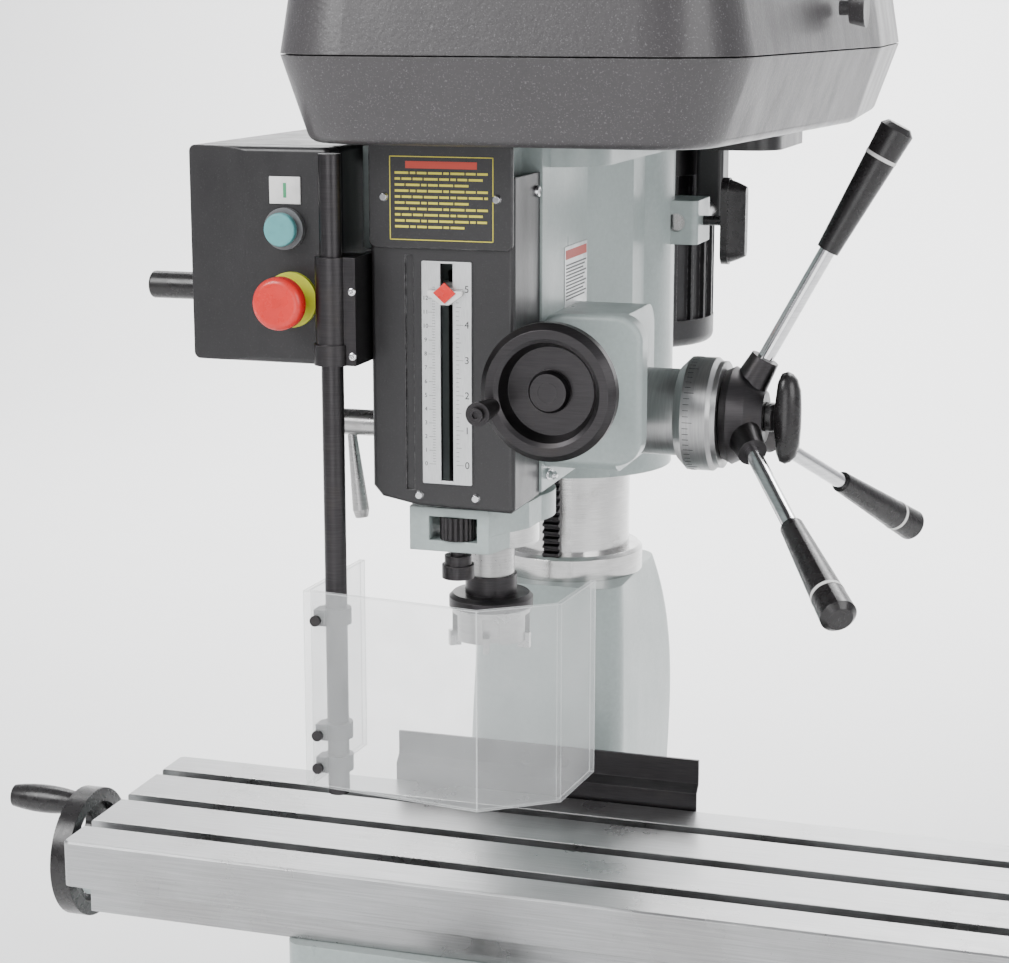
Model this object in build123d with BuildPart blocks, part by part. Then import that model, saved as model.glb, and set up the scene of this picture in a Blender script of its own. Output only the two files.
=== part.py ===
"""Round-column mill drill: a bench drill press with a compound table.

Millimetres. Origin at the centre of the four base holes on the floor face,
+X to the operator's right, -Y towards the operator, +Z up.
"""
from build123d import *
import math
import os

os.makedirs("parts", exist_ok=True)

# ---- driving dimensions --------------------------------------------------
BASE_W, BASE_D, FOOT_H, BED_H = 340.0, 550.0, 22.0, 108.0
HOLE_X, HOLE_Y, HOLE_R = 290.0, 480.0, 7.0

SPINDLE_Y = -55.0                 # spindle and quill axis
COLUMN_Y, COLUMN_R = 167.0, 51.0  # column axis and radius
COLUMN_Z0, COLUMN_Z1 = 292.0, 738.0
PEDESTAL_TOP = 392.0
COLLAR_R, COLLAR_H = 62.5, 21.0

TABLE_TOP, TABLE_T = 240.0, 36.0
TABLE_L, TABLE_W = 730.0, 210.0
TABLE_X, TABLE_Y = 67.0, -98.0    # table centre at rest
SADDLE_W, SADDLE_D = 240.0, 190.0
SLIDE_GAP = 0.4                   # between sliding castings
WAY_H = 18.0                      # dovetail height

HEAD_BOTTOM, HEAD_TOP = 512.0, 772.0
BARREL_BOTTOM, BARREL_R = 486.0, 86.0
FIT = 0.05                        # radial running clearance

QUILL_R, QUILL_Z0, QUILL_Z1 = 37.5, 466.0, 698.0
FEED_MODULE, FEED_TEETH = 2.0, 14
RACK_PITCH = math.pi * FEED_MODULE
QUILL_RACK_Y = -20.3              # pitch line of the teeth on the quill
FEED_Y = QUILL_RACK_Y + FEED_MODULE * FEED_TEETH / 2
FEED_Z = 563.0
FEED_SHAFT_R = 11.0

LIFT_TEETH = 12
LIFT_PITCH_Y = COLUMN_Y - 58.35
LIFT_Y = LIFT_PITCH_Y - FEED_MODULE * LIFT_TEETH / 2
LIFT_Z = 600.0

WORM_X, WORM_Z = 84.0, 605.0
GEAR_MODULE, GEAR_TEETH = 1.6, 36

COVER_X0, COVER_X1 = -60.0, 48.0
COVER_Y, COVER_BACK, COVER_BOTTOM = -150.0, -88.0, 514.0
STOP_X, STOP_Y = -2.0, -128.0     # depth stop rod
SLOT_W, SLOT_Z0, SLOT_Z1 = 9.4, 530.0, 687.0

BOX_X0, BOX_X1 = -198.0, -86.4
BOX_FRONT, BOX_BACK = -158.0, 70.0
BOX_Z0, BOX_Z1 = 611.0, 767.0

START_X, START_Z = -121.0, 709.0
STOP_BUTTON_X, STOP_BUTTON_Z = -117.0, 658.0
BUTTON_PLACES = [(START_X, START_Z), (STOP_BUTTON_X, STOP_BUTTON_Z)]
STEM_R = 8.0

POST_X, POST_Y, POST_R = -80.0, -175.0, 8.0
GUARD_Z0, GUARD_Z1, GUARD_T = 303.0, 451.0, 4.0

PAN_Z0, PAN_Z1, LID_Z1, PAN_WALL = 772.0, 832.0, 905.0, 4.0
MOTOR_X, MOTOR_Y, MOTOR_R = 8.0, 347.0, 74.0
MOTOR_Z0, MOTOR_Z1 = 565.0, 742.0
IDLER_X, IDLER_Y = 88.0, 130.0
PULLEY_Z0, STEP_H = 782.0, 16.0
SPINDLE_STEPS = [78.0, 68.0, 58.0, 48.0]
IDLER_STEPS = [40.0, 50.0, 60.0, 70.0]
MOTOR_STEPS = [62.0, 52.0, 42.0, 32.0]
BELT_W, BELT_T = 10.0, 6.0
FRONT_BELT_STEP, REAR_BELT_STEP = 1, 2


def save(piece, label):
    """Label a finished sub-part and write its STEP file."""
    piece.part.label = label
    export_step(piece.part, f"parts/{label}.step")


def save_group(label, *pieces):
    """Write several separate pieces that share one node."""
    group = Compound(label=label, children=[piece.part for piece in pieces])
    export_step(group, f"parts/{label}.step")


def frustum(plane, radius_low, radius_high, length):
    """Add a cone frustum that starts on a plane and runs along its normal."""
    with BuildSketch(plane) as low:
        Circle(radius_low)
    with BuildSketch(plane.offset(length)) as high:
        Circle(radius_high)
    loft([low.sketch, high.sketch])


def rod(plane, radius, length, mode=Mode.ADD):
    """Add a round bar that starts on a plane and runs along its normal."""
    with BuildSketch(plane) as section:
        Circle(radius)
    extrude(section.sketch, amount=length, mode=mode)


def block(x0, x1, y0, y1, z0, z1, mode=Mode.ADD, corner=0.0):
    """Add a box by its corners, with rounded upright edges if asked."""
    with BuildSketch(Plane.XY.offset(z0)) as plan:
        with Locations(((x0 + x1) / 2, (y0 + y1) / 2)):
            if corner:
                RectangleRounded(x1 - x0, y1 - y0, corner)
            else:
                Rectangle(x1 - x0, y1 - y0)
    extrude(plan.sketch, amount=z1 - z0, mode=mode)


def x_plane(x, y, z):
    """Plane whose normal is +X, placed at a point."""
    return Plane(origin=(x, y, z), x_dir=(0, 1, 0), z_dir=(1, 0, 0))


def front_plane(x, y, z):
    """Plane whose normal is -Y, towards the operator."""
    return Plane(origin=(x, y, z), x_dir=(1, 0, 0), z_dir=(0, -1, 0))


def back_plane(x, y, z):
    """Plane whose normal is +Y, away from the operator."""
    return Plane(origin=(x, y, z), x_dir=(-1, 0, 0), z_dir=(0, 1, 0))


def raised(plane, height):
    """The same plane with its origin moved straight up."""
    return Plane(origin=plane.origin + Vector(0, 0, height), x_dir=plane.x_dir, z_dir=plane.z_dir)


def gear_outline(teeth, module):
    """Points of a spur gear outline with slim teeth, one trapezoid each."""
    pitch_r = teeth * module / 2
    points = []
    step = 2 * math.pi / teeth
    for tooth in range(teeth):
        middle = tooth * step
        for radius, share in ((-1.25, -0.32), (1.0, -0.08), (1.0, 0.08), (-1.25, 0.32)):
            angle = middle + share * step
            r = pitch_r + radius * module
            points.append((r * math.cos(angle), r * math.sin(angle)))
    return points


def strip_outline(points, thickness):
    """Outline of a bent sheet that follows a centre line, with mitred bends."""
    half = thickness / 2
    left, right = [], []
    for i, point in enumerate(points):
        before = points[max(i - 1, 0)]
        after = points[min(i + 1, len(points) - 1)]
        ends = [Vector(*point) - Vector(*before), Vector(*after) - Vector(*point)]
        runs = [run.normalized() for run in ends if run.length > 0]
        normals = [Vector(-run.Y, run.X) for run in runs]
        middle = (normals[0] + normals[-1]).normalized()
        reach = half / middle.dot(normals[0])
        left.append((point[0] + middle.X * reach, point[1] + middle.Y * reach))
        right.append((point[0] - middle.X * reach, point[1] - middle.Y * reach))
    return left + right[::-1]


# ---- base, column and collar --------------------------------------------
def pedestal_section(z, front_y, front_hw, rear_y, rear_hw, corner):
    """One plan section of the tapering pedestal."""
    with BuildSketch(Plane.XY.offset(z)) as section:
        Polygon(
            (-front_hw, front_y), (front_hw, front_y), (rear_hw, rear_y), (-rear_hw, rear_y),
            align=None,
        )
        fillet(section.vertices(), corner)
    return section.sketch


BED_FRONT, BED_REAR = -264.0, 100.0
POCKET, POCKET_DEPTH = 76.0, 74.0
WAY_X_ROOT, WAY_X_TOP = 52.0, 64.0
SCREW_Z_Y = 112.0

with BuildPart() as base:
    with BuildSketch(Plane.XY):
        RectangleRounded(BASE_W, BASE_D, 32)
    extrude(amount=FOOT_H)
    chamfer(base.faces().sort_by(Axis.Z)[-1].edges(), 5)
    with BuildSketch(Plane.XY.offset(FOOT_H)):
        with Locations((0, (BED_FRONT + BED_REAR) / 2)):
            RectangleRounded(236, BED_REAR - BED_FRONT, 24)
    extrude(amount=BED_H - FOOT_H)
    with BuildSketch(Plane.XZ.offset(-BED_REAR + 30)):
        Polygon(
            (-WAY_X_ROOT, BED_H), (WAY_X_ROOT, BED_H),
            (WAY_X_TOP, BED_H + WAY_H), (-WAY_X_TOP, BED_H + WAY_H), align=None,
        )
    extrude(amount=BED_REAR - 30 - BED_FRONT - 8)
    pedestal_sections = [
        pedestal_section(FOOT_H - 4, 70, 70, 266, 80, 16),
        pedestal_section(BED_H + 150, 84, 66, 262, 73, 18),
        pedestal_section(PEDESTAL_TOP - 40, 90, 63, 250, 69, 20),
        pedestal_section(PEDESTAL_TOP, 92, 62, 240, 60, 22),
    ]
    loft(pedestal_sections)
    block(-16, 16, BED_FRONT - 1, BED_REAR - 30, SCREW_Z_Y - 15, BED_H + WAY_H + 1, Mode.SUBTRACT)
    with Locations((0, COLUMN_Y, COLUMN_Z0)):
        Cylinder(COLUMN_R, 200, align=(Align.CENTER, Align.CENTER, Align.MIN), mode=Mode.SUBTRACT)
    with BuildSketch(Plane.XY):
        with Locations((0, -82)):
            with GridLocations(90, 90, 2, 4):
                RectangleRounded(POCKET, POCKET, 8)
    extrude(amount=POCKET_DEPTH, mode=Mode.SUBTRACT)
    with BuildSketch(Plane.XY):
        with GridLocations(HOLE_X, HOLE_Y, 2, 2):
            Circle(HOLE_R)
    extrude(amount=FOOT_H, mode=Mode.SUBTRACT)
save(base, "base")

with BuildPart() as column:
    rod(Plane((0, COLUMN_Y, COLUMN_Z0)), COLUMN_R, COLUMN_Z1 - COLUMN_Z0)
    rod(Plane((0, COLUMN_Y, COLUMN_Z0)), COLUMN_R - 14, COLUMN_Z1 - COLUMN_Z0, Mode.SUBTRACT)
    chamfer(column.faces().sort_by(Axis.Z)[-1].edges(), 2)
save(column, "column")

with BuildPart() as column_collar:
    rod(Plane((0, COLUMN_Y, PEDESTAL_TOP)), COLLAR_R, COLLAR_H)
    chamfer(column_collar.edges().group_by(Axis.Z)[-1], 3)
    rod(Plane((0, COLUMN_Y, PEDESTAL_TOP)), COLUMN_R, COLLAR_H, Mode.SUBTRACT)
save(column_collar, "column_collar")

RACK_BACK = COLUMN_Y - COLUMN_R - 0.35
RACK_TIP = LIFT_PITCH_Y - FEED_MODULE
LIFT_RACK_Z0 = PEDESTAL_TOP + COLLAR_H + 0.4
LIFT_RACK_Z1 = COLUMN_Z1 - 4
with BuildPart() as lift_rack:
    block(-7, 7, RACK_TIP, RACK_BACK, LIFT_RACK_Z0, LIFT_RACK_Z1)
    first = math.ceil((LIFT_RACK_Z0 - LIFT_Z) / RACK_PITCH)
    last = math.floor((LIFT_RACK_Z1 - LIFT_Z) / RACK_PITCH)
    with BuildSketch(x_plane(-7, LIFT_PITCH_Y, LIFT_Z)):
        for step in range(first, last + 2):
            with Locations((0, step * RACK_PITCH)):
                Polygon((-2.2, 2.35), (2.5, 0.85), (2.5, -0.85), (-2.2, -2.35), align=None)
    extrude(amount=14, mode=Mode.SUBTRACT)
save(lift_rack, "lift_rack")

# ---- saddle and its screw ------------------------------------------------
SADDLE_Z0, SADDLE_Z1 = BED_H + SLIDE_GAP, 176.0
TABLE_BODY_Z0 = SADDLE_Z1 + SLIDE_GAP
SCREW_R = 8.0
SCREW_Z_X = 190.0
SADDLE_Y0, SADDLE_Y1 = TABLE_Y - SADDLE_D / 2, TABLE_Y + SADDLE_D / 2
NUT_L = 26.0

with BuildPart() as saddle:
    block(-SADDLE_W / 2, SADDLE_W / 2, SADDLE_Y0, SADDLE_Y1, SADDLE_Z0, SADDLE_Z1, corner=14)
    with BuildSketch(front_plane(0, SADDLE_Y1 + 1, 0)):
        Polygon(
            (-WAY_X_ROOT - 1, SADDLE_Z0 - 1), (WAY_X_ROOT + 1, SADDLE_Z0 - 1),
            (WAY_X_TOP + 1.2, BED_H + WAY_H + SLIDE_GAP), (-WAY_X_TOP - 1.2, BED_H + WAY_H + SLIDE_GAP),
            align=None,
        )
    extrude(amount=SADDLE_D + 2, mode=Mode.SUBTRACT)
    with BuildSketch(x_plane(-SADDLE_W / 2, TABLE_Y, SADDLE_Z1)):
        Polygon((-50, 0), (50, 0), (61, WAY_H), (-61, WAY_H), align=None)
    extrude(amount=SADDLE_W)
    block(-200, 200, TABLE_Y - 15, TABLE_Y + 15, SCREW_Z_X - 11, 220, Mode.SUBTRACT)
save(saddle, "saddle")

with BuildPart() as saddle_nut:
    nut_top = BED_H + WAY_H + SLIDE_GAP
    block(-12, 12, TABLE_Y - NUT_L / 2, TABLE_Y + NUT_L / 2, SCREW_Z_Y - 12, nut_top)
    rod(front_plane(0, TABLE_Y + NUT_L, SCREW_Z_Y), SCREW_R + FIT, 2 * NUT_L, Mode.SUBTRACT)

with BuildPart() as table_nut:
    block(-NUT_L / 2, NUT_L / 2, TABLE_Y - 12, TABLE_Y + 12, SCREW_Z_X - 11, SCREW_Z_X + 9.4)
    rod(x_plane(-NUT_L, TABLE_Y, SCREW_Z_X), SCREW_R + FIT, 2 * NUT_L, Mode.SUBTRACT)
save_group("screw_nuts", saddle_nut, table_nut)

CHIP_X0, CHIP_X1, CHIP_T = -103.0, 150.0, 2.5
with BuildPart() as chip_guard:
    bends = [
        (SADDLE_Y1 + CHIP_T / 2, 128), (SADDLE_Y1 + CHIP_T / 2, 166), (10.5, 178),
        (10.5, 253), (17, 259), (17, 279),
    ]
    with BuildSketch(x_plane(CHIP_X0, 0, 0)):
        Polygon(*strip_outline(bends, CHIP_T), align=None)
    extrude(amount=CHIP_X1 - CHIP_X0)

with BuildPart() as chip_guard_screws:
    for x in (6, 38):
        frustum(front_plane(x, 17 - CHIP_T / 2, 267), 5.2, 3.4, 2.6)
save_group("chip_guard", chip_guard, chip_guard_screws)

WHEEL_R, WHEEL_T = 52.0, 16.0


def slide_wheel(plane):
    """Dished wheel of a table slide; the plane is its hub's inner face."""
    rod(plane, 15, 24)
    with BuildSketch(plane.offset(8)) as web:
        Circle(WHEEL_R - 8)
        Circle(14, mode=Mode.SUBTRACT)
        with PolarLocations(28, 5):
            Circle(9, mode=Mode.SUBTRACT)
    extrude(web.sketch, amount=6)
    with BuildSketch(plane.offset(3)) as rim:
        Circle(WHEEL_R)
        Circle(WHEEL_R - 11, mode=Mode.SUBTRACT)
    extrude(rim.sketch, amount=WHEEL_T)


def wheel_handle(plane):
    """Waisted crank handle on its stud; the plane is the wheel rim's outer face."""
    rod(plane.offset(-6), 4, 12)
    with BuildSketch(plane.offset(2)) as foot:
        Circle(8.5)
    with BuildSketch(plane.offset(30)) as waist:
        Circle(11.5)
    with BuildSketch(plane.offset(58)) as end:
        Circle(9)
    loft([foot.sketch, waist.sketch, end.sketch])


with BuildPart() as saddle_bracket:
    block(-34, 34, BED_FRONT - 16, BED_FRONT, 78, BED_H + 17)
    chamfer(saddle_bracket.edges().filter_by(Axis.Y), 6)
    rod(front_plane(0, BED_FRONT + 2, SCREW_Z_Y), SCREW_R + FIT, 30, Mode.SUBTRACT)
save(saddle_bracket, "saddle_bracket")

SADDLE_WHEEL_Y = BED_FRONT - 20.0
with BuildPart() as saddle_screw:
    rod(back_plane(0, SADDLE_WHEEL_Y - 26, SCREW_Z_Y), SCREW_R, BED_REAR - 40 - SADDLE_WHEEL_Y + 26)

with BuildPart() as saddle_wheel:
    slide_wheel(front_plane(0, SADDLE_WHEEL_Y, SCREW_Z_Y))
    rod(front_plane(0, SADDLE_WHEEL_Y + 1, SCREW_Z_Y), SCREW_R, 30, Mode.SUBTRACT)
    rod(front_plane(0, SADDLE_WHEEL_Y - 8, SCREW_Z_Y + WHEEL_R - 12), 4, 20, Mode.SUBTRACT)

with BuildPart() as saddle_handle:
    wheel_handle(front_plane(0, SADDLE_WHEEL_Y - WHEEL_T - 3, SCREW_Z_Y + WHEEL_R - 12))
save_group("saddle_screw", saddle_screw, saddle_wheel, saddle_handle)

# ---- table and its screw -------------------------------------------------
TABLE_X0, TABLE_X1 = TABLE_X - TABLE_L / 2, TABLE_X + TABLE_L / 2
TABLE_Y0, TABLE_Y1 = TABLE_Y - TABLE_W / 2, TABLE_Y + TABLE_W / 2
PLATE_Z0 = TABLE_TOP - TABLE_T
SLOT_TOP_W, SLOT_FOOT_W, SLOT_TOP_H, SLOT_FOOT_H = 14.0, 24.0, 9.0, 9.0

with BuildPart() as table:
    block(TABLE_X0, TABLE_X1, TABLE_Y0, TABLE_Y1, PLATE_Z0, TABLE_TOP, corner=6)
    chamfer(table.faces().sort_by(Axis.Z)[-1].edges(), 1.5)
    block(TABLE_X0 + 12, TABLE_X1 - 12, TABLE_Y - 84, TABLE_Y + 84, TABLE_BODY_Z0, PLATE_Z0)
    with BuildSketch(x_plane(TABLE_X0, TABLE_Y, 0)):
        Polygon(
            (-51, TABLE_BODY_Z0 - 1), (51, TABLE_BODY_Z0 - 1),
            (62.2, SADDLE_Z1 + WAY_H + SLIDE_GAP), (-62.2, SADDLE_Z1 + WAY_H + SLIDE_GAP), align=None,
        )
        with Locations((0, SCREW_Z_X)):
            Rectangle(30, 21)
    extrude(amount=TABLE_L, mode=Mode.SUBTRACT)
    with BuildSketch(x_plane(TABLE_X0, TABLE_Y, TABLE_TOP)):
        for y in (-63, 0, 63):
            with Locations((y, -SLOT_TOP_H / 2)):
                Rectangle(SLOT_TOP_W, SLOT_TOP_H)
            with Locations((y, -SLOT_TOP_H - SLOT_FOOT_H / 2)):
                Rectangle(SLOT_FOOT_W, SLOT_FOOT_H)
    extrude(amount=TABLE_L, mode=Mode.SUBTRACT)
save(table, "table")

with BuildPart() as table_brackets:
    for x in (TABLE_X0 - 18, TABLE_X1):
        block(x, x + 18, TABLE_Y - 42, TABLE_Y + 42, SCREW_Z_X - 22, 219)
    chamfer(table_brackets.edges().filter_by(Axis.X), 6)
    rod(x_plane(TABLE_X0 - 20, TABLE_Y, SCREW_Z_X), SCREW_R + FIT, TABLE_L + 40, Mode.SUBTRACT)
save(table_brackets, "table_brackets")

LEFT_HUB_X, RIGHT_HUB_X = TABLE_X0 - 22, TABLE_X1 + 22
with BuildPart() as table_screw:
    rod(x_plane(LEFT_HUB_X - 24, TABLE_Y, SCREW_Z_X), SCREW_R, RIGHT_HUB_X - LEFT_HUB_X + 48)

TABLE_WHEEL_PLANES = {
    LEFT_HUB_X: Plane(origin=(LEFT_HUB_X, TABLE_Y, SCREW_Z_X), x_dir=(0, -1, 0), z_dir=(-1, 0, 0)),
    RIGHT_HUB_X: x_plane(RIGHT_HUB_X, TABLE_Y, SCREW_Z_X),
}
with BuildPart() as table_wheels:
    for wheel_plane in TABLE_WHEEL_PLANES.values():
        slide_wheel(wheel_plane)
        rod(wheel_plane.offset(-1), SCREW_R, 30, Mode.SUBTRACT)
        rod(raised(wheel_plane, WHEEL_R - 12).offset(8), 4, 20, Mode.SUBTRACT)

with BuildPart() as table_handles:
    for wheel_plane in TABLE_WHEEL_PLANES.values():
        wheel_handle(raised(wheel_plane, WHEEL_R - 12).offset(WHEEL_T + 3))
save_group("table_screw", table_screw, table_wheels, table_handles)

# ---- head casting and its covers ----------------------------------------
RACK_SLOT = (-9.0, 9.0, RACK_TIP - 1.2, COLUMN_Y - COLUMN_R + 6)
SLEEVE_R, BEARING_R = 20.0, 31.0
SLIDE_ROD_R = 7.5
CLAMP_HEIGHTS, CLAMP_Y, CLAMP_FLAT = (520, 620), COLUMN_Y + 66, 46.0
with BuildPart() as head_casting:
    with BuildSketch(Plane.XY.offset(HEAD_BOTTOM)) as neck:
        with BuildLine():
            Polyline(
                (COVER_X0 + 4, COVER_BACK), (COVER_X1 + 2, COVER_BACK), (COVER_X1 + 2, 34),
                (72, 92), (76, COLUMN_Y), (-76, COLUMN_Y), (-72, 92), (COVER_X0 + 4, 34), close=True,
            )
        make_face()
        with Locations((-5, -97)):
            Rectangle(78, 34)
    extrude(amount=HEAD_TOP - HEAD_BOTTOM)
    with BuildSketch(Plane.XY.offset(BARREL_BOTTOM)):
        with Locations((0, COLUMN_Y)):
            Circle(BARREL_R)
    extrude(amount=HEAD_TOP - BARREL_BOTTOM)
    with BuildSketch(Plane.XY.offset(HEAD_TOP - 22)):
        with Locations((0, COLUMN_Y - 70)):
            RectangleRounded(2 * BARREL_R, 330, 40)
    extrude(amount=22)
    for x0, x1 in ((-98, -78), (78, 108)):
        block(x0, x1, COLUMN_Y - 4, COLUMN_Y + 48, 672, 708, corner=5)
    rod(Plane((0, COLUMN_Y, BARREL_BOTTOM - 1)), COLUMN_R + FIT, 290, Mode.SUBTRACT)
    block(*RACK_SLOT, BARREL_BOTTOM - 1, HEAD_TOP + 1, Mode.SUBTRACT)
    rod(Plane((0, SPINDLE_Y, HEAD_BOTTOM - 10)), QUILL_R + FIT, QUILL_Z1 - HEAD_BOTTOM + 12, Mode.SUBTRACT)
    rod(Plane((0, SPINDLE_Y, QUILL_Z1)), BEARING_R, HEAD_TOP - QUILL_Z1 + 1, Mode.SUBTRACT)
    rod(x_plane(-110, FEED_Y, FEED_Z), FEED_SHAFT_R + FIT, 200, Mode.SUBTRACT)
    rod(x_plane(-13, FEED_Y, FEED_Z), 17.5, 26, Mode.SUBTRACT)
    rod(x_plane(-13, LIFT_Y, LIFT_Z), 15.5, 26, Mode.SUBTRACT)
    rod(x_plane(-110, LIFT_Y, LIFT_Z), 8 + FIT, 150, Mode.SUBTRACT)
    rod(x_plane(-110, SPINDLE_Y - 8, 552), 8 + FIT, 66, Mode.SUBTRACT)
    for x in (-90, 90):
        rod(back_plane(x, COLUMN_Y - 5, 690), SLIDE_ROD_R + FIT, 60, Mode.SUBTRACT)
    rod(x_plane(90, COLUMN_Y + 22, 690), 4 + FIT, 20, Mode.SUBTRACT)
    for z in CLAMP_HEIGHTS:
        block(-90, -CLAMP_FLAT, CLAMP_Y - 12, CLAMP_Y + 27, z - 12, z + 12, Mode.SUBTRACT)
        block(CLAMP_FLAT, 90, CLAMP_Y - 12, CLAMP_Y + 27, z - 12, z + 12, Mode.SUBTRACT)
        rod(x_plane(-90, CLAMP_Y, z), 5, 180, Mode.SUBTRACT)
    block(-2, 2, COLUMN_Y + COLUMN_R - 2, COLUMN_Y + BARREL_R + 20, BARREL_BOTTOM - 1, 660, Mode.SUBTRACT)
save(head_casting, "head_casting")

with BuildPart() as clamp_bolts:
    for z in CLAMP_HEIGHTS:
        rod(x_plane(-CLAMP_FLAT - 9, CLAMP_Y, z), 5, 2 * CLAMP_FLAT + 12)
        for x in (-CLAMP_FLAT - 7, CLAMP_FLAT):
            with BuildSketch(x_plane(x, CLAMP_Y, z)) as hexagon:
                RegularPolygon(9, 6)
            extrude(hexagon.sketch, amount=7)
save(clamp_bolts, "clamp_bolts")

COVER_WALL = 3.0
with BuildPart() as front_cover:
    with BuildSketch(front_plane(0, COVER_BACK, 0)):
        with BuildLine():
            Polyline(
                (COVER_X0, HEAD_TOP - 24), (COVER_X0, COVER_BOTTOM + 9), (COVER_X0 + 7, COVER_BOTTOM + 1),
                (COVER_X0 + 34, COVER_BOTTOM - 4), (COVER_X1 - 3, COVER_BOTTOM - 6),
                (COVER_X1, COVER_BOTTOM - 3), (COVER_X1, HEAD_TOP - 24), close=True,
            )
        make_face()
    extrude(amount=COVER_BACK - COVER_Y)
    fillet(front_cover.faces().sort_by(Axis.Y)[0].edges(), 3.5)
    block(
        COVER_X0 + COVER_WALL, COVER_X1 - COVER_WALL, COVER_Y + COVER_WALL, COVER_BACK + 1,
        COVER_BOTTOM + 12, HEAD_TOP, Mode.SUBTRACT,
    )
    block(
        COVER_X0 + 16, COVER_X1 - 12, COVER_Y + COVER_WALL + 4, COVER_BACK + 1,
        COVER_BOTTOM - 12, COVER_BOTTOM + 13, Mode.SUBTRACT,
    )
    block(STOP_X - SLOT_W / 2, STOP_X + SLOT_W / 2, COVER_Y - 1, COVER_Y + 5, SLOT_Z0, SLOT_Z1, Mode.SUBTRACT)
    block(-33.5, -27.5, COVER_Y - 1, COVER_Y + 1.6, COVER_BOTTOM + 8, SLOT_Z1 + 5, Mode.SUBTRACT)
save(front_cover, "front_cover")

PLATE_Z, NAME_PLATE_T = 697.0, 3.0
with BuildPart() as warning_plate:
    with BuildSketch(front_plane((COVER_X0 + COVER_X1) / 2, COVER_Y, (PLATE_Z + HEAD_TOP) / 2)):
        RectangleRounded(COVER_X1 - COVER_X0 - 1, HEAD_TOP - PLATE_Z, 5)
    extrude(amount=NAME_PLATE_T)
    fillet(warning_plate.faces().sort_by(Axis.Y)[0].edges(), 1)
save(warning_plate, "upper_plate")

SCALE_W, SCALE_Z0, SCALE_Z1, SCALE_T = 37.2, 527.6, 688.4, 1.5
with BuildPart() as scale_plate:
    with BuildSketch(front_plane(STOP_X, COVER_Y, (SCALE_Z0 + SCALE_Z1) / 2)):
        RectangleRounded(SCALE_W, SCALE_Z1 - SCALE_Z0, 1)
    extrude(amount=SCALE_T)
    block(STOP_X - SLOT_W / 2, STOP_X + SLOT_W / 2, COVER_Y - 5, COVER_Y + 1, SLOT_Z0, SLOT_Z1, Mode.SUBTRACT)
save(scale_plate, "scale_plate")

with BuildPart() as cover_screws:
    for x, z, lift in ((-48, 733, NAME_PLATE_T), (36, 733, NAME_PLATE_T), (-24, 518, 0), (19, 518, 0)):
        frustum(front_plane(x, COVER_Y - lift, z), 3.6, 2.4, 2)
save(cover_screws, "cover_screws")

# ---- quill and depth stop -----------------------------------------------
with BuildPart() as quill:
    rod(Plane((0, SPINDLE_Y, QUILL_Z0)), QUILL_R, QUILL_Z1 - QUILL_Z0)
    with BuildSketch(x_plane(-12, QUILL_RACK_Y, FEED_Z)) as gaps:
        for step in range(-11, 23):
            with Locations((0, step * RACK_PITCH)):
                Polygon((-2.5, 0.85), (-2.5, -0.85), (2.2, -2.35), (4.5, -2.35), (4.5, 2.35), (2.2, 2.35), align=None)
    extrude(gaps.sketch, amount=24, mode=Mode.SUBTRACT)
    with BuildSketch(x_plane(-12, QUILL_RACK_Y, 0)) as flat:
        with Locations((3.9, FEED_Z + 30)):
            Rectangle(4, 2 * RACK_PITCH * 17)
    extrude(flat.sketch, amount=24, mode=Mode.SUBTRACT)
    rod(Plane((0, SPINDLE_Y, QUILL_Z0 - 1)), 18 + FIT, QUILL_Z1 - QUILL_Z0 + 2, Mode.SUBTRACT)
    rod(Plane((0, SPINDLE_Y, QUILL_Z0 - 1)), 30, 20, Mode.SUBTRACT)
    rod(Plane((0, SPINDLE_Y, QUILL_Z1 - 18)), 26, 19, Mode.SUBTRACT)
save(quill, "quill")


def bearing(plane, bore_r, outer_r, width):
    """Closed bearing: two races and the seal between them as one ring."""
    with BuildSketch(plane) as ring:
        Circle(outer_r)
        Circle(bore_r, mode=Mode.SUBTRACT)
    extrude(ring.sketch, amount=width)


with BuildPart() as quill_bearings:
    bearing(Plane((0, SPINDLE_Y, QUILL_Z0)), 18 + FIT, 30, 18)
    bearing(Plane((0, SPINDLE_Y, QUILL_Z1 - 17)), 13 + FIT, 26, 16)
save(quill_bearings, "quill_bearings")

BRACKET_Z0, BRACKET_Z1 = 474.0, 506.5
RING_Z0 = 487.0
STOP_ROD_Z0, STOP_ROD_Z1 = 453.0, 680.0
with BuildPart() as stop_bracket:
    with BuildSketch(Plane.XY.offset(RING_Z0)):
        with Locations((0, SPINDLE_Y)):
            Circle(QUILL_R + 12)
        with BuildLine():
            Polyline((-36, -138), (25, -138), (44, -100), (47, SPINDLE_Y), (-47, SPINDLE_Y), (-40, -100), close=True)
        make_face()
    extrude(amount=BRACKET_Z1 - RING_Z0)
    with BuildSketch(Plane.XY.offset(BRACKET_Z0)) as arm:
        with BuildLine():
            Polyline((-36, -138), (25, -138), (33, -112), (-36, -112), close=True)
        make_face()
    extrude(arm.sketch, amount=BRACKET_Z1 - BRACKET_Z0)
    block(STOP_X - 19, STOP_X + 18, -145, -110, 482, 500, Mode.SUBTRACT)
    rod(Plane((STOP_X, STOP_Y, 470)), 6 + FIT, 50, Mode.SUBTRACT)
    rod(Plane((0, SPINDLE_Y, 470)), QUILL_R, 50, Mode.SUBTRACT)
save(stop_bracket, "stop_bracket")

with BuildPart() as stop_rod:
    rod(Plane((STOP_X, STOP_Y, STOP_ROD_Z0)), 6, STOP_ROD_Z1 - STOP_ROD_Z0)
    rod(Plane((STOP_X, STOP_Y, STOP_ROD_Z0)), 12, 10)
    rod(Plane((STOP_X, STOP_Y, STOP_ROD_Z0 + 10)), 10, 7)
save(stop_rod, "stop_rod")

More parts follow.
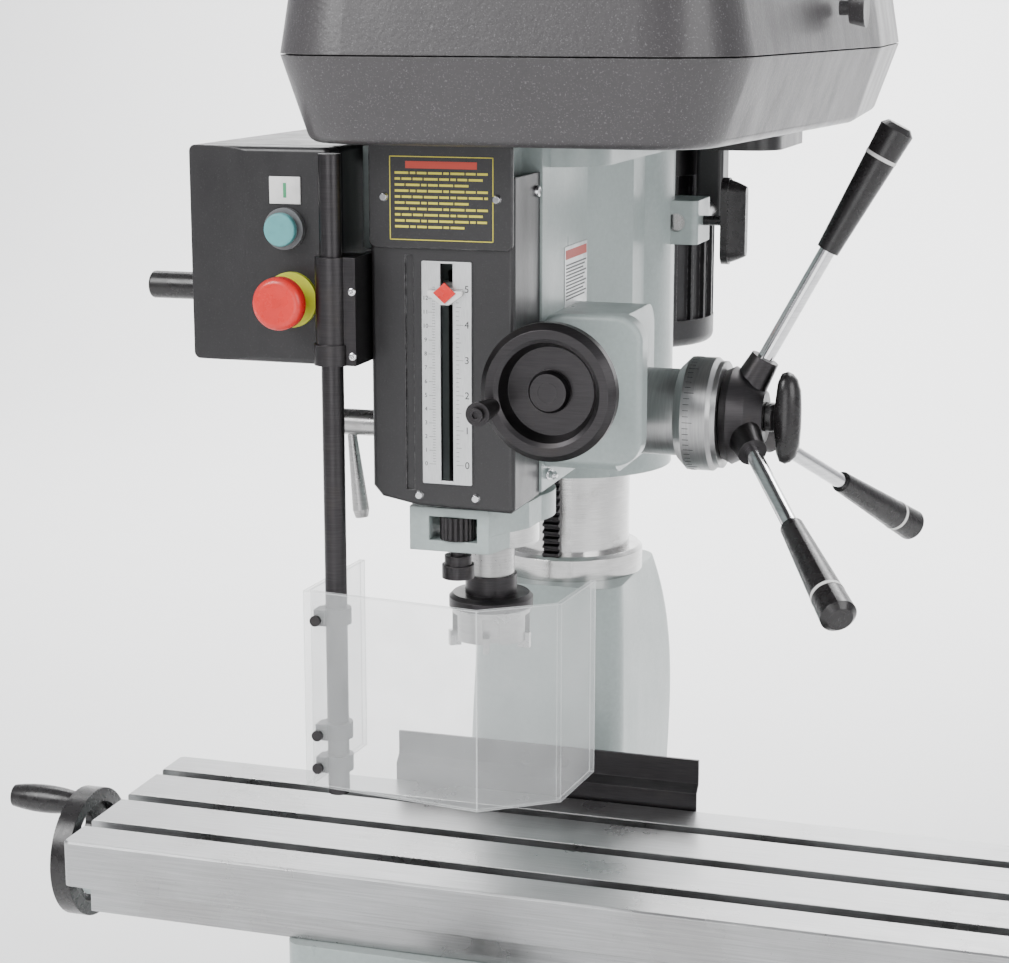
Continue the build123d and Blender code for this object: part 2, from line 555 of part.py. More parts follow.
STOP_NUT_R = 14.0
with BuildPart() as stop_nut:
    with BuildSketch(Plane((STOP_X, STOP_Y, 482.4))):
        Circle(STOP_NUT_R - 2)
        with PolarLocations(STOP_NUT_R - 2.6, 18):
            Circle(2)
        Circle(6 + FIT, mode=Mode.SUBTRACT)
    extrude(amount=17.2)
save(stop_nut, "stop_nut")

POINTER_Z = 664.0
with BuildPart() as depth_pointer:
    rod(Plane((STOP_X, STOP_Y, POINTER_Z - 8)), 10, 16)
    block(STOP_X - 4.2, STOP_X + 4.2, -154, STOP_Y, POINTER_Z - 5, POINTER_Z + 5)
    with BuildSketch(front_plane(STOP_X, -153, POINTER_Z)):
        with BuildLine():
            Polyline((-13, 4), (13, 4), (13, 1), (3, -6), (-3, -6), (-13, 1), close=True)
        make_face()
    extrude(amount=2.5)
    rod(Plane((STOP_X, STOP_Y, POINTER_Z - 9)), 6, 18, Mode.SUBTRACT)
save(depth_pointer, "depth_pointer")

# ---- spindle, drawbar, arbor and face mill ------------------------------
NOSE_Z0 = 439.0
SPINDLE_TOP = 852.0
TAPER_R, TAPER_TOP_R, TAPER_L = 12.0, 10.0, 70.0
with BuildPart() as spindle:
    rod(Plane((0, SPINDLE_Y, NOSE_Z0)), 18, 62)
    rod(Plane((0, SPINDLE_Y, NOSE_Z0 + 60)), 13, QUILL_Z1 - NOSE_Z0 - 60)
    rod(Plane((0, SPINDLE_Y, QUILL_Z1)), 11.5, SPINDLE_TOP - QUILL_Z1)
    with BuildSketch(Plane((0, SPINDLE_Y, QUILL_Z1 + 4))):
        with PolarLocations(11.5, 6):
            Rectangle(5, 4)
    extrude(amount=SPINDLE_TOP - QUILL_Z1 - 6)
    rod(Plane((0, SPINDLE_Y, NOSE_Z0 - 1)), 6.2, 500, Mode.SUBTRACT)
    with BuildSketch(Plane((0, SPINDLE_Y, NOSE_Z0))) as mouth:
        Circle(TAPER_R)
    with BuildSketch(Plane((0, SPINDLE_Y, NOSE_Z0 + TAPER_L))) as throat:
        Circle(TAPER_TOP_R)
    loft([mouth.sketch, throat.sketch], mode=Mode.SUBTRACT)
save(spindle, "spindle")

with BuildPart() as drawbar:
    rod(Plane((0, SPINDLE_Y, NOSE_Z0 + TAPER_L - 14)), 6, SPINDLE_TOP - NOSE_Z0 - TAPER_L + 14)
    with BuildSketch(Plane((0, SPINDLE_Y, SPINDLE_TOP))):
        RegularPolygon(10, 6)
    extrude(amount=9)
save(drawbar, "drawbar")

MILL_R, MILL_Z0, MILL_Z1 = 32.5, 383.0, 424.0
with BuildPart() as arbor:
    frustum(Plane((0, SPINDLE_Y, NOSE_Z0)), TAPER_R, TAPER_TOP_R, TAPER_L)
    rod(Plane((0, SPINDLE_Y, MILL_Z1)), 20, NOSE_Z0 - MILL_Z1)
    rod(Plane((0, SPINDLE_Y, MILL_Z0 + 14)), 11, MILL_Z1 - MILL_Z0 - 14)
    rod(Plane((0, SPINDLE_Y, NOSE_Z0 + TAPER_L - 14)), 6, 15, Mode.SUBTRACT)

INSERTS = 5
with BuildPart() as face_mill:
    rod(Plane((0, SPINDLE_Y, MILL_Z0 + 6)), MILL_R - 2.5, 24)
    rod(Plane((0, SPINDLE_Y, MILL_Z0 + 30)), MILL_R, MILL_Z1 - MILL_Z0 - 30)
    chamfer(face_mill.faces().sort_by(Axis.Z)[-1].edges(), 3)
    rod(Plane((0, SPINDLE_Y, MILL_Z0)), 11, 60, Mode.SUBTRACT)
    rod(Plane((0, SPINDLE_Y, MILL_Z0)), 19, 14, Mode.SUBTRACT)
    with BuildSketch(Plane((0, SPINDLE_Y, MILL_Z0))) as chip_gaps:
        with PolarLocations(MILL_R - 3, INSERTS):
            Rectangle(13, 13)
    extrude(chip_gaps.sketch, amount=26, mode=Mode.SUBTRACT)

with BuildPart() as mill_inserts:
    with BuildSketch(Plane((0, SPINDLE_Y, MILL_Z0))):
        with PolarLocations(MILL_R - 4.5, INSERTS):
            with Locations((0, -4)):
                Rectangle(9, 5)
    extrude(amount=12)
save_group("face_mill", arbor, face_mill, mill_inserts)

# ---- feed: levers, shaft, worm gear and fine handwheel ------------------
HOUSING_X0, HOUSING_X1, FLANGE_X1 = COVER_X1 + 2, 105.0, 129.0
FLANGE_Y0, FLANGE_Y1 = -104.0, -86.0
HOUSING_Z0, HOUSING_Z1 = 528.0, 642.0
WORM_R, GEAR_R, GEAR_W = 11.2, GEAR_MODULE * (GEAR_TEETH / 2 + 1), 14.0
with BuildPart() as worm_housing:
    with BuildSketch(x_plane(HOUSING_X0, -28, (HOUSING_Z0 + HOUSING_Z1) / 2)) as side:
        RectangleRounded(120, HOUSING_Z1 - HOUSING_Z0, 20)
    extrude(side.sketch, amount=HOUSING_X1 - HOUSING_X0)
    with BuildSketch(front_plane((HOUSING_X0 + FLANGE_X1) / 2, FLANGE_Y1, 593)) as face:
        RectangleRounded(FLANGE_X1 - HOUSING_X0, 110, 20)
    extrude(face.sketch, amount=FLANGE_Y1 - FLANGE_Y0)
    fillet(worm_housing.faces().sort_by(Axis.Y)[0].edges(), 4)
    rod(x_plane(WORM_X - GEAR_W / 2 - 1, FEED_Y, FEED_Z), GEAR_R + 1.4, GEAR_W + 2, Mode.SUBTRACT)
    rod(back_plane(WORM_X, FLANGE_Y0 + 16, WORM_Z), WORM_R + 1, 104, Mode.SUBTRACT)
    rod(back_plane(WORM_X, FLANGE_Y0 - 2, WORM_Z), 7 + FIT, 130, Mode.SUBTRACT)
    rod(x_plane(HOUSING_X0 - 1, FEED_Y, FEED_Z), FEED_SHAFT_R + FIT, 80, Mode.SUBTRACT)

TUBE_R, TUBE_X1 = 33.0, 137.0
COLLAR_X1, DIAL_R, HUB_X1 = 171.0, 43.0, 200.0
with BuildPart() as feed_tube:
    rod(x_plane(HOUSING_X1, FEED_Y, FEED_Z), TUBE_R, TUBE_X1 - HOUSING_X1)
    rod(x_plane(HOUSING_X1, FEED_Y, FEED_Z), FEED_SHAFT_R + FIT, TUBE_X1 - HOUSING_X1, Mode.SUBTRACT)
save_group("worm_housing", worm_housing, feed_tube)

SPRING_X0 = -86.0
with BuildPart() as feed_shaft:
    rod(x_plane(SPRING_X0 + 6, FEED_Y, FEED_Z), FEED_SHAFT_R, HUB_X1 - SPRING_X0 - 8)
    with BuildSketch(x_plane(-11, FEED_Y, FEED_Z)) as teeth:
        Polygon(*gear_outline(FEED_TEETH, FEED_MODULE), align=None)
    extrude(teeth.sketch, amount=22)
save(feed_shaft, "feed_shaft")

with BuildPart() as feed_dial:
    with BuildSketch(Plane(origin=(TUBE_X1 + 0.5, FEED_Y, FEED_Z), x_dir=(1, 0, 0), z_dir=(0, -1, 0))):
        with BuildLine():
            Polyline(
                (0, FEED_SHAFT_R), (0, 36), (7, DIAL_R), (26, DIAL_R), (29, 40.5), (33, 40.5),
                (33, FEED_SHAFT_R), close=True,
            )
        make_face()
    revolve(axis=Axis((0, FEED_Y, FEED_Z), (1, 0, 0)))
save(feed_dial, "feed_dial")

LEVER_ANGLES = [3.0, -117.0, 123.0]
LEVER_LEAN = 28.0
LEVER_ROD_R, LEVER_TIP_R = 6.0, 218.0


def lever_plane(angle, distance):
    """Plane across a lever, at a distance along it from the hub centre."""
    lean = math.radians(LEVER_LEAN)
    turn = math.radians(angle)
    along = Vector(
        math.sin(lean), math.cos(lean) * math.sin(turn), math.cos(lean) * math.cos(turn)
    )
    centre = Vector(176, FEED_Y, FEED_Z)
    return Plane(origin=centre + along * distance, x_dir=(0, math.cos(turn), -math.sin(turn)), z_dir=along)


with BuildPart() as lever_hub:
    with BuildSketch(Plane(origin=(COLLAR_X1 + 0.5, FEED_Y, FEED_Z), x_dir=(1, 0, 0), z_dir=(0, -1, 0))):
        with BuildLine():
            Polyline((0, FEED_SHAFT_R), (0, 34), (6, 37), (18, 31), (30, 19), (30, FEED_SHAFT_R), close=True)
        make_face()
    revolve(axis=Axis((0, FEED_Y, FEED_Z), (1, 0, 0)))
    for angle in LEVER_ANGLES:
        frustum(lever_plane(angle, 20), 14, 11, 30)
    rod(x_plane(COLLAR_X1, FEED_Y, FEED_Z), FEED_SHAFT_R, 40, Mode.SUBTRACT)
    for angle in LEVER_ANGLES:
        rod(lever_plane(angle, 32), LEVER_ROD_R, 40, Mode.SUBTRACT)
save(lever_hub, "lever_hub")

LEVER_LENGTH = LEVER_TIP_R / math.cos(math.radians(LEVER_LEAN))
GRIP_L = 104.0
with BuildPart() as lever_rods:
    for angle in LEVER_ANGLES:
        rod(lever_plane(angle, 32), LEVER_ROD_R, LEVER_LENGTH - 32 - GRIP_L + 40)
save(lever_rods, "lever_rods")

with BuildPart() as lever_grips:
    for angle in LEVER_ANGLES:
        start = LEVER_LENGTH - GRIP_L
        frustum(lever_plane(angle, start), 8.5, 13, GRIP_L - 4)
        frustum(lever_plane(angle, start + GRIP_L - 4), 13, 9, 4)
        rod(lever_plane(angle, start - 1), LEVER_ROD_R, 41, Mode.SUBTRACT)
save(lever_grips, "lever_grips")


def wing_knob(plane, length, width, thickness):
    """Long oval knob with a waist; the plane is its inner face."""
    with BuildSketch(plane) as foot:
        SlotOverall(length, width, rotation=90)
    with BuildSketch(plane.offset(thickness * 0.45)) as middle:
        SlotOverall(length * 0.93, width * 0.8, rotation=90)
    with BuildSketch(plane.offset(thickness)) as crown:
        SlotOverall(length * 0.8, width * 0.5, rotation=90)
    extrude(foot.sketch, amount=thickness * 0.3)
    loft([foot.sketch, middle.sketch, crown.sketch])


with BuildPart() as clutch_knob:
    rod(x_plane(HUB_X1 + 2, FEED_Y, FEED_Z), 11, 7)
    wing_knob(x_plane(HUB_X1 + 8, FEED_Y, FEED_Z), 70, 24, 20)
save(clutch_knob, "clutch_knob")

with BuildPart() as worm_gear:
    with BuildSketch(x_plane(WORM_X - GEAR_W / 2, FEED_Y, FEED_Z)) as teeth:
        Polygon(*gear_outline(GEAR_TEETH, GEAR_MODULE), align=None)
        Circle(FEED_SHAFT_R + FIT, mode=Mode.SUBTRACT)
    extrude(teeth.sketch, amount=GEAR_W)
save(worm_gear, "worm_gear")

WHEEL_FRONT, WHEEL_BACK = -193.0, -170.0
with BuildPart() as worm_shaft:
    rod(back_plane(WORM_X, WHEEL_FRONT + 4, WORM_Z), 7, 24 - WHEEL_FRONT - 4)
    for y in range(-36, 12, 6):
        rod(back_plane(WORM_X, y, WORM_Z), WORM_R, 3)
save(worm_shaft, "worm_shaft")

FINE_R, HANDLE_OFF = 48.5, (-39.0, -11.0)
with BuildPart() as fine_wheel:
    with BuildSketch(Plane(origin=(WORM_X, 0, WORM_Z), x_dir=(1, 0, 0), z_dir=(0, 0, 1))):
        with BuildLine():
            Polyline(
                (7, WHEEL_FRONT + 4), (13, WHEEL_FRONT + 4), (15, WHEEL_FRONT + 8), (15, WHEEL_FRONT + 12),
                (31, WHEEL_FRONT + 12), (35, WHEEL_FRONT + 2), (38, WHEEL_FRONT), (44, WHEEL_FRONT),
                (FINE_R, WHEEL_FRONT + 5), (FINE_R, WHEEL_FRONT + 13), (44, WHEEL_FRONT + 19),
                (38, WHEEL_FRONT + 19), (30, WHEEL_FRONT + 18), (16, WHEEL_FRONT + 18),
                (14, WHEEL_BACK + 30), (7, WHEEL_BACK + 30), close=True,
            )
        make_face()
    revolve(axis=Axis((WORM_X, 0, WORM_Z), (0, 1, 0)))
    handle_x, handle_z = WORM_X + HANDLE_OFF[0], WORM_Z + HANDLE_OFF[1]
    rod(front_plane(handle_x, WHEEL_BACK + 2, handle_z), 3.5 + FIT, 40, Mode.SUBTRACT)

with BuildPart() as fine_handle:
    with BuildSketch(front_plane(handle_x, WHEEL_FRONT - 0.5, handle_z)) as foot:
        Circle(6)
    with BuildSketch(front_plane(handle_x, WHEEL_FRONT - 18, handle_z)) as waist:
        Circle(7.5)
    with BuildSketch(front_plane(handle_x, WHEEL_FRONT - 32, handle_z)) as end:
        Circle(8.5)
    loft([foot.sketch, waist.sketch, end.sketch])
    rod(front_plane(handle_x, WHEEL_FRONT + 1, handle_z), 3.5 + FIT, 40, Mode.SUBTRACT)

with BuildPart() as fine_handle_bolt:
    rod(front_plane(handle_x, WHEEL_BACK - 4, handle_z), 3.5, WHEEL_BACK - 4 - WHEEL_FRONT + 32)
    with BuildSketch(front_plane(handle_x, WHEEL_FRONT - 32.4, handle_z)) as cap:
        Circle(5)
    extrude(cap.sketch, amount=4)
    with BuildSketch(front_plane(handle_x, WHEEL_FRONT - 34, handle_z)) as socket:
        RegularPolygon(2.6, 6)
    extrude(socket.sketch, amount=4, mode=Mode.SUBTRACT)
save_group("fine_wheel", fine_wheel, fine_handle, fine_handle_bolt)

with BuildPart() as spring_housing:
    rod(x_plane(SPRING_X0, FEED_Y, FEED_Z), 33, COVER_X0 + 4 - SPRING_X0)
    fillet(spring_housing.faces().sort_by(Axis.X)[0].edges(), 4)
    rod(x_plane(SPRING_X0 + 4, FEED_Y, FEED_Z), 29, 40, Mode.SUBTRACT)
save(spring_housing, "spring_housing")

SPRING_TURNS, SPRING_POINTS = 3, 24
with BuildPart() as return_spring:
    coil = []
    for i in range(SPRING_TURNS * SPRING_POINTS + 1):
        turn = 2 * math.pi * i / SPRING_POINTS
        r = 13 + 14.0 * i / (SPRING_TURNS * SPRING_POINTS)
        coil.append((r * math.cos(turn), r * math.sin(turn)))
    with BuildSketch(x_plane(SPRING_X0 + 6, FEED_Y, FEED_Z)):
        Polygon(*strip_outline(coil, 1.2), align=None)
    extrude(amount=18)
save(return_spring, "return_spring")

with BuildPart() as quill_lock:
    rod(x_plane(-118, SPINDLE_Y - 8, 552), 10, 57)
    rod(x_plane(-62, SPINDLE_Y - 8, 552), 8, 17)
    lever = Plane(origin=(-110, SPINDLE_Y - 8, 545), x_dir=(0, 1, 0), z_dir=(0.11, 0, -1))
    frustum(lever, 3.5, 6.5, 62)
    frustum(lever.offset(62), 6.5, 5, 6)
save(quill_lock, "quill_lock")

# ---- head elevation crank ------------------------------------------------
CRANK_X, CRANK_T = -240.0, 12.0
GRIP_Y, GRIP_Z, GRIP_LEN, GRIP_R = LIFT_Y - 106.0, LIFT_Z + 45.0, 60.0, 11.0
with BuildPart() as crank:
    rod(x_plane(CRANK_X, LIFT_Y, LIFT_Z), 8, 12 - CRANK_X)
    with BuildSketch(x_plane(-11, LIFT_Y, LIFT_Z)) as teeth:
        Polygon(*gear_outline(LIFT_TEETH, FEED_MODULE), align=None)
    extrude(teeth.sketch, amount=22)
    with BuildSketch(x_plane(CRANK_X, 0, 0)) as arm:
        with Locations((LIFT_Y, LIFT_Z)):
            Circle(15)
        with Locations((GRIP_Y, GRIP_Z)):
            Circle(11)
        make_hull()
    extrude(arm.sketch, amount=CRANK_T)
    rod(x_plane(CRANK_X - GRIP_LEN - 2, GRIP_Y, GRIP_Z), 5, GRIP_LEN + 4)

with BuildPart() as crank_grip:
    rod(x_plane(CRANK_X - GRIP_LEN - 1, GRIP_Y, GRIP_Z), GRIP_R, GRIP_LEN)
    fillet(crank_grip.faces().sort_by(Axis.X)[0].edges(), 2.5)
    rod(x_plane(CRANK_X - GRIP_LEN - 3, GRIP_Y, GRIP_Z), 5 + FIT, GRIP_LEN + 6, Mode.SUBTRACT)
save_group("lift_crank", crank, crank_grip)

# ---- belt drive ----------------------------------------------------------
PAN_X0, PAN_X1, PAN_Y0, PAN_Y1 = -98.0, 192.0, -202.0, 436.0
PAN_GROW, LID_SHRINK, PAN_CORNER = 20.0, 8.0, 46.0


def cover_section(z, grow):
    """Plan section of the belt housing, grown outwards from its floor outline."""
    with BuildSketch(Plane.XY.offset(z)) as section:
        Polygon(
            (PAN_X0 - grow, PAN_Y0 - grow), (PAN_X1 + grow, PAN_Y0 - grow),
            (PAN_X1 + 38 + grow, 190), (PAN_X1 + 20 + grow, PAN_Y1 + grow),
            (PAN_X0 - grow, PAN_Y1 + grow), align=None,
        )
        fillet(section.vertices(), PAN_CORNER + grow)
    return section.sketch


def sleeve_spline(clearance):
    """Six-key spline shared by the spindle and its pulley, in the open sketch."""
    Circle(11.5 + clearance)
    with PolarLocations(11.5, 6):
        Rectangle(5 + 2 * clearance, 4 + 2 * clearance)


with BuildPart() as belt_pan:
    loft([cover_section(PAN_Z0, 0), cover_section(PAN_Z1, PAN_GROW)], ruled=True)
    fillet(belt_pan.faces().sort_by(Axis.Z)[0].edges(), 9)
    loft(
        [cover_section(PAN_Z0 + PAN_WALL, -PAN_WALL), cover_section(PAN_Z1 + 0.01, PAN_GROW - PAN_WALL)],
        ruled=True, mode=Mode.SUBTRACT,
    )
    rod(Plane((0, SPINDLE_Y, PAN_Z0 - 1)), BEARING_R, 12, Mode.SUBTRACT)
    block(MOTOR_X - 24, MOTOR_X + 24, MOTOR_Y - 40, MOTOR_Y + 24, PAN_Z0 - 1, PAN_Z0 + 12, Mode.SUBTRACT, corner=23)

HINGE_X, HINGE_Z, HINGE_R = PAN_X0 - PAN_GROW - 9.0, PAN_Z1 + 0.5, 6.0
with BuildPart() as belt_lid:
    loft([cover_section(PAN_Z1 + 1, PAN_GROW), cover_section(LID_Z1, LID_SHRINK)], ruled=True)
    fillet(belt_lid.faces().sort_by(Axis.Z)[-1].edges(), 16)
    loft(
        [cover_section(PAN_Z1 + 0.9, PAN_GROW - PAN_WALL), cover_section(LID_Z1 - PAN_WALL, LID_SHRINK - PAN_WALL)],
        ruled=True, mode=Mode.SUBTRACT,
    )
    for y in (-90, 260):
        block(HINGE_X, PAN_X0 - PAN_GROW + 2, y - 9.5, y + 9.5, PAN_Z1 + 1, PAN_Z1 + 6)
        rod(back_plane(HINGE_X, y - 9.5, HINGE_Z), HINGE_R, 19)
        rod(back_plane(HINGE_X, y - 12, HINGE_Z), 3 + FIT, 24, Mode.SUBTRACT)

with BuildPart() as lid_hinges:
    for y in (-90, 260):
        for start in (y - 30, y + 10):
            block(HINGE_X, PAN_X0 - PAN_GROW + 0.2, start, start + 20, PAN_Z1 - 6, PAN_Z1 - 1)
            rod(back_plane(HINGE_X, start, HINGE_Z), HINGE_R, 20)
        rod(back_plane(HINGE_X, y - 30, HINGE_Z), 3, 60)

with BuildPart() as lid_knob:
    rod(x_plane(PAN_X1 + 45, 60, 864), 6, 8)
    frustum(x_plane(PAN_X1 + 53, 60, 864), 12, 15, 12)
save_group("belt_lid", belt_lid, lid_knob)


def step_pulley(x, y, steps):
    """Turned cone pulley with one belt groove on each step."""
    with BuildSketch(Plane(origin=(x, y, 0), x_dir=(1, 0, 0), z_dir=(0, -1, 0))) as profile:
        points = [(0, PULLEY_Z0)]
        for level, radius in enumerate(steps):
            z = PULLEY_Z0 + level * STEP_H
            rim, floor = radius - 1, radius - BELT_T - 0.5
            points += [(rim, z), (rim, z + 2), (floor, z + 2.6), (floor, z + 13.4), (rim, z + 14), (rim, z + 16)]
        points += [(0, PULLEY_Z0 + STEP_H * len(steps))]
        Polygon(*points, align=None)
    revolve(profile.sketch, axis=Axis((x, y, 0), (0, 0, 1)))


PULLEY_TOP = PULLEY_Z0 + STEP_H * len(SPINDLE_STEPS)
with BuildPart() as spindle_pulley:
    step_pulley(0, SPINDLE_Y, SPINDLE_STEPS)
    rod(Plane((0, SPINDLE_Y, QUILL_Z1 + 8)), SLEEVE_R, PULLEY_Z0 - QUILL_Z1 - 8)
    with BuildSketch(Plane((0, SPINDLE_Y, QUILL_Z1))) as bore:
        sleeve_spline(FIT)
    extrude(bore.sketch, amount=PULLEY_TOP - QUILL_Z1 + 1, mode=Mode.SUBTRACT)

with BuildPart() as pulley_bearings:
    for z in (QUILL_Z1 + 14, QUILL_Z1 + 52):
        bearing(Plane((0, SPINDLE_Y, z)), SLEEVE_R + FIT, BEARING_R, 16)
save_group("spindle_pulley", spindle_pulley, pulley_bearings)

with BuildPart() as idler_post:
    rod(Plane((IDLER_X, IDLER_Y, PAN_Z0 + PAN_WALL)), 22, 5)
    rod(Plane((IDLER_X, IDLER_Y, PAN_Z0 + PAN_WALL)), 10, PULLEY_TOP + 4 - PAN_Z0 - PAN_WALL)
save_group("belt_pan", belt_pan, lid_hinges, idler_post)

with BuildPart() as idler_pulley:
    step_pulley(IDLER_X, IDLER_Y, IDLER_STEPS)
    rod(Plane((IDLER_X, IDLER_Y, PULLEY_Z0 - 1)), 10 + FIT, 80, Mode.SUBTRACT)
save(idler_pulley, "idler_pulley")

with BuildPart() as rotor:
    rod(Plane((MOTOR_X, MOTOR_Y, MOTOR_Z0 + 14)), 12, MOTOR_Z1 - MOTOR_Z0 + 24)
    rod(Plane((MOTOR_X, MOTOR_Y, MOTOR_Z0 + 34)), 44, 110)

with BuildPart() as motor_pulley:
    step_pulley(MOTOR_X, MOTOR_Y, MOTOR_STEPS)
    rod(Plane((MOTOR_X, MOTOR_Y, PULLEY_Z0 - 1)), 12 + FIT, 80, Mode.SUBTRACT)
save_group("motor_rotor", rotor, motor_pulley)


def belt_loop(near, far, step):
    """Flat-sided V belt looped round one step of two pulleys."""
    z = PULLEY_Z0 + step * STEP_H + STEP_H / 2 - BELT_W / 2
    for inset, mode in ((0.0, Mode.ADD), (BELT_T, Mode.SUBTRACT)):
        with BuildSketch(Plane.XY.offset(z)) as ring:
            for x, y, radius in (near, far):
                with Locations((x, y)):
                    Circle(radius - inset)
            make_hull()
        extrude(ring.sketch, amount=BELT_W, mode=mode)


with BuildPart() as drive_belts:
    belt_loop(
        (0, SPINDLE_Y, SPINDLE_STEPS[FRONT_BELT_STEP]),
        (IDLER_X, IDLER_Y, IDLER_STEPS[FRONT_BELT_STEP]), FRONT_BELT_STEP,
    )
    belt_loop(
        (IDLER_X, IDLER_Y, IDLER_STEPS[REAR_BELT_STEP]),
        (MOTOR_X, MOTOR_Y, MOTOR_STEPS[REAR_BELT_STEP]), REAR_BELT_STEP,
    )
save(drive_belts, "drive_belts")

# ---- motor on its slide --------------------------------------------------
FINS = 24
with BuildPart() as motor_housing:
    with BuildSketch(Plane((MOTOR_X, MOTOR_Y, MOTOR_Z0 + 22))) as ribs:
        Circle(MOTOR_R - 5)
        with PolarLocations(MOTOR_R - 5, FINS):
            Rectangle(9, 3)
    extrude(ribs.sketch, amount=MOTOR_Z1 - MOTOR_Z0 - 44)
    rod(Plane((MOTOR_X, MOTOR_Y, MOTOR_Z0)), MOTOR_R, 24)
    fillet(motor_housing.faces().sort_by(Axis.Z)[0].edges(), 8)
    rod(Plane((MOTOR_X, MOTOR_Y, MOTOR_Z1 - 24)), MOTOR_R, 24)
    rod(Plane((MOTOR_X, MOTOR_Y, MOTOR_Z0 + 30)), 47, 120, Mode.SUBTRACT)
    rod(Plane((MOTOR_X, MOTOR_Y, MOTOR_Z0 + 12)), 12 + FIT, 180, Mode.SUBTRACT)
    block(MOTOR_X - 28, MOTOR_X + 28, MOTOR_Y + MOTOR_R - 14, MOTOR_Y + MOTOR_R + 24, 610, 690, corner=5)
save(motor_housing, "motor_housing")

PLATE_T = 12.0
with BuildPart() as motor_plate:
    block(-120, 150, 282, 432, MOTOR_Z1, MOTOR_Z1 + PLATE_T, corner=26)
    for x in (-90, 90):
        block(x - 12, x + 12, 288, 316, 678, MOTOR_Z1, corner=4)
    rod(Plane((MOTOR_X, MOTOR_Y, MOTOR_Z1 - 1)), 22, PLATE_T + 2, Mode.SUBTRACT)
    for x in (-90, 90):
        rod(back_plane(x, 280, 690), SLIDE_ROD_R, 60, Mode.SUBTRACT)
save(motor_plate, "motor_plate")

with BuildPart() as slide_rods:
    for x in (-90, 90):
        rod(back_plane(x, 168, 690), SLIDE_ROD_R, 156)
save(slide_rods, "slide_rods")

with BuildPart() as tension_knob:
    rod(x_plane(90 + SLIDE_ROD_R + 0.2, COLUMN_Y + 22, 690), 4, 28)
    wing_knob(x_plane(124, COLUMN_Y + 22, 690), 72, 22, 20)
save(tension_knob, "tension_knob")

# ---- control box ---------------------------------------------------------
LIP_Y = -140.0
with BuildPart() as control_box:
    block(BOX_X0, BOX_X1, LIP_Y, BOX_BACK, BOX_Z0, BOX_Z1, corner=6)
    fillet(control_box.edges().filter_by(Axis.Y), 5)
    block(BOX_X0 + 3, BOX_X1 - 3, LIP_Y - 1, BOX_BACK - 3, BOX_Z0 + 3, BOX_Z1 - 3, Mode.SUBTRACT)

with BuildPart() as control_cover:
    with BuildSketch(Plane.XY.offset(BOX_Z0)) as plan:
        with BuildLine():
            Polyline(
                (BOX_X0, LIP_Y), (BOX_X0, BOX_FRONT + 5), (BOX_X0 + 46, BOX_FRONT), (BOX_X1, BOX_FRONT),
                (BOX_X1, LIP_Y), close=True,
            )
        make_face()
    extrude(plan.sketch, amount=BOX_Z1 - BOX_Z0)
    fillet(control_cover.edges().filter_by(Axis.Y), 5)
    fillet(control_cover.faces().sort_by(Axis.Y)[0].edges(), 4)
    block(BOX_X0 + 3, BOX_X1 - 3, BOX_FRONT + 9, LIP_Y + 1, BOX_Z0 + 3, BOX_Z1 - 3, Mode.SUBTRACT)
    for x, z in BUTTON_PLACES:
        rod(front_plane(x, BOX_FRONT + 12, z), STEM_R + FIT, 20, Mode.SUBTRACT)
save(control_cover, "control_cover")

with BuildPart() as start_bezel:
    rod(front_plane(START_X, BOX_FRONT, START_Z), 15, 5)
    rod(front_plane(START_X, BOX_FRONT + 1, START_Z), STEM_R + FIT, 8, Mode.SUBTRACT)

with BuildPart() as stop_collar:
    rod(front_plane(STOP_BUTTON_X, BOX_FRONT, STOP_BUTTON_Z), 20, 4)
    rod(front_plane(STOP_BUTTON_X, BOX_FRONT + 1, STOP_BUTTON_Z), STEM_R + FIT, 8, Mode.SUBTRACT)
save_group("button_collars", start_bezel, stop_collar)

with BuildPart() as start_button:
    rod(front_plane(START_X, BOX_FRONT + 4, START_Z), STEM_R, 14)
    rod(front_plane(START_X, BOX_FRONT - 8.5, START_Z), 12, 5)
    fillet(start_button.faces().sort_by(Axis.Y)[0].edges(), 1.5)
save(start_button, "start_button")

with BuildPart() as stop_button:
    rod(front_plane(STOP_BUTTON_X, BOX_FRONT + 4, STOP_BUTTON_Z), STEM_R, 20)
    frustum(front_plane(STOP_BUTTON_X, BOX_FRONT - 12, STOP_BUTTON_Z), 12, 19, 9)
    rod(front_plane(STOP_BUTTON_X, BOX_FRONT - 21, STOP_BUTTON_Z), 19, 11)
    fillet(stop_button.faces().sort_by(Axis.Y)[0].edges(), 5)
save(stop_button, "stop_button")

with BuildPart() as contact_blocks:
    for x, z in BUTTON_PLACES:
        block(x - 14, x + 14, BOX_FRONT + 20, BOX_FRONT + 54, z - 16, z + 16)

with BuildPart() as power_gland:
    rod(Plane((-140, 30, BOX_Z0 - 16)), 9, 16)
    with BuildSketch(Plane((-140, 30, BOX_Z0 - 8))) as hexagon:
        RegularPolygon(13, 6)
    extrude(hexagon.sketch, amount=8)
    rod(Plane((-140, 30, BOX_Z0 - 17)), 4, 14, Mode.SUBTRACT)
save_group("control_box", control_box, contact_blocks, power_gland)

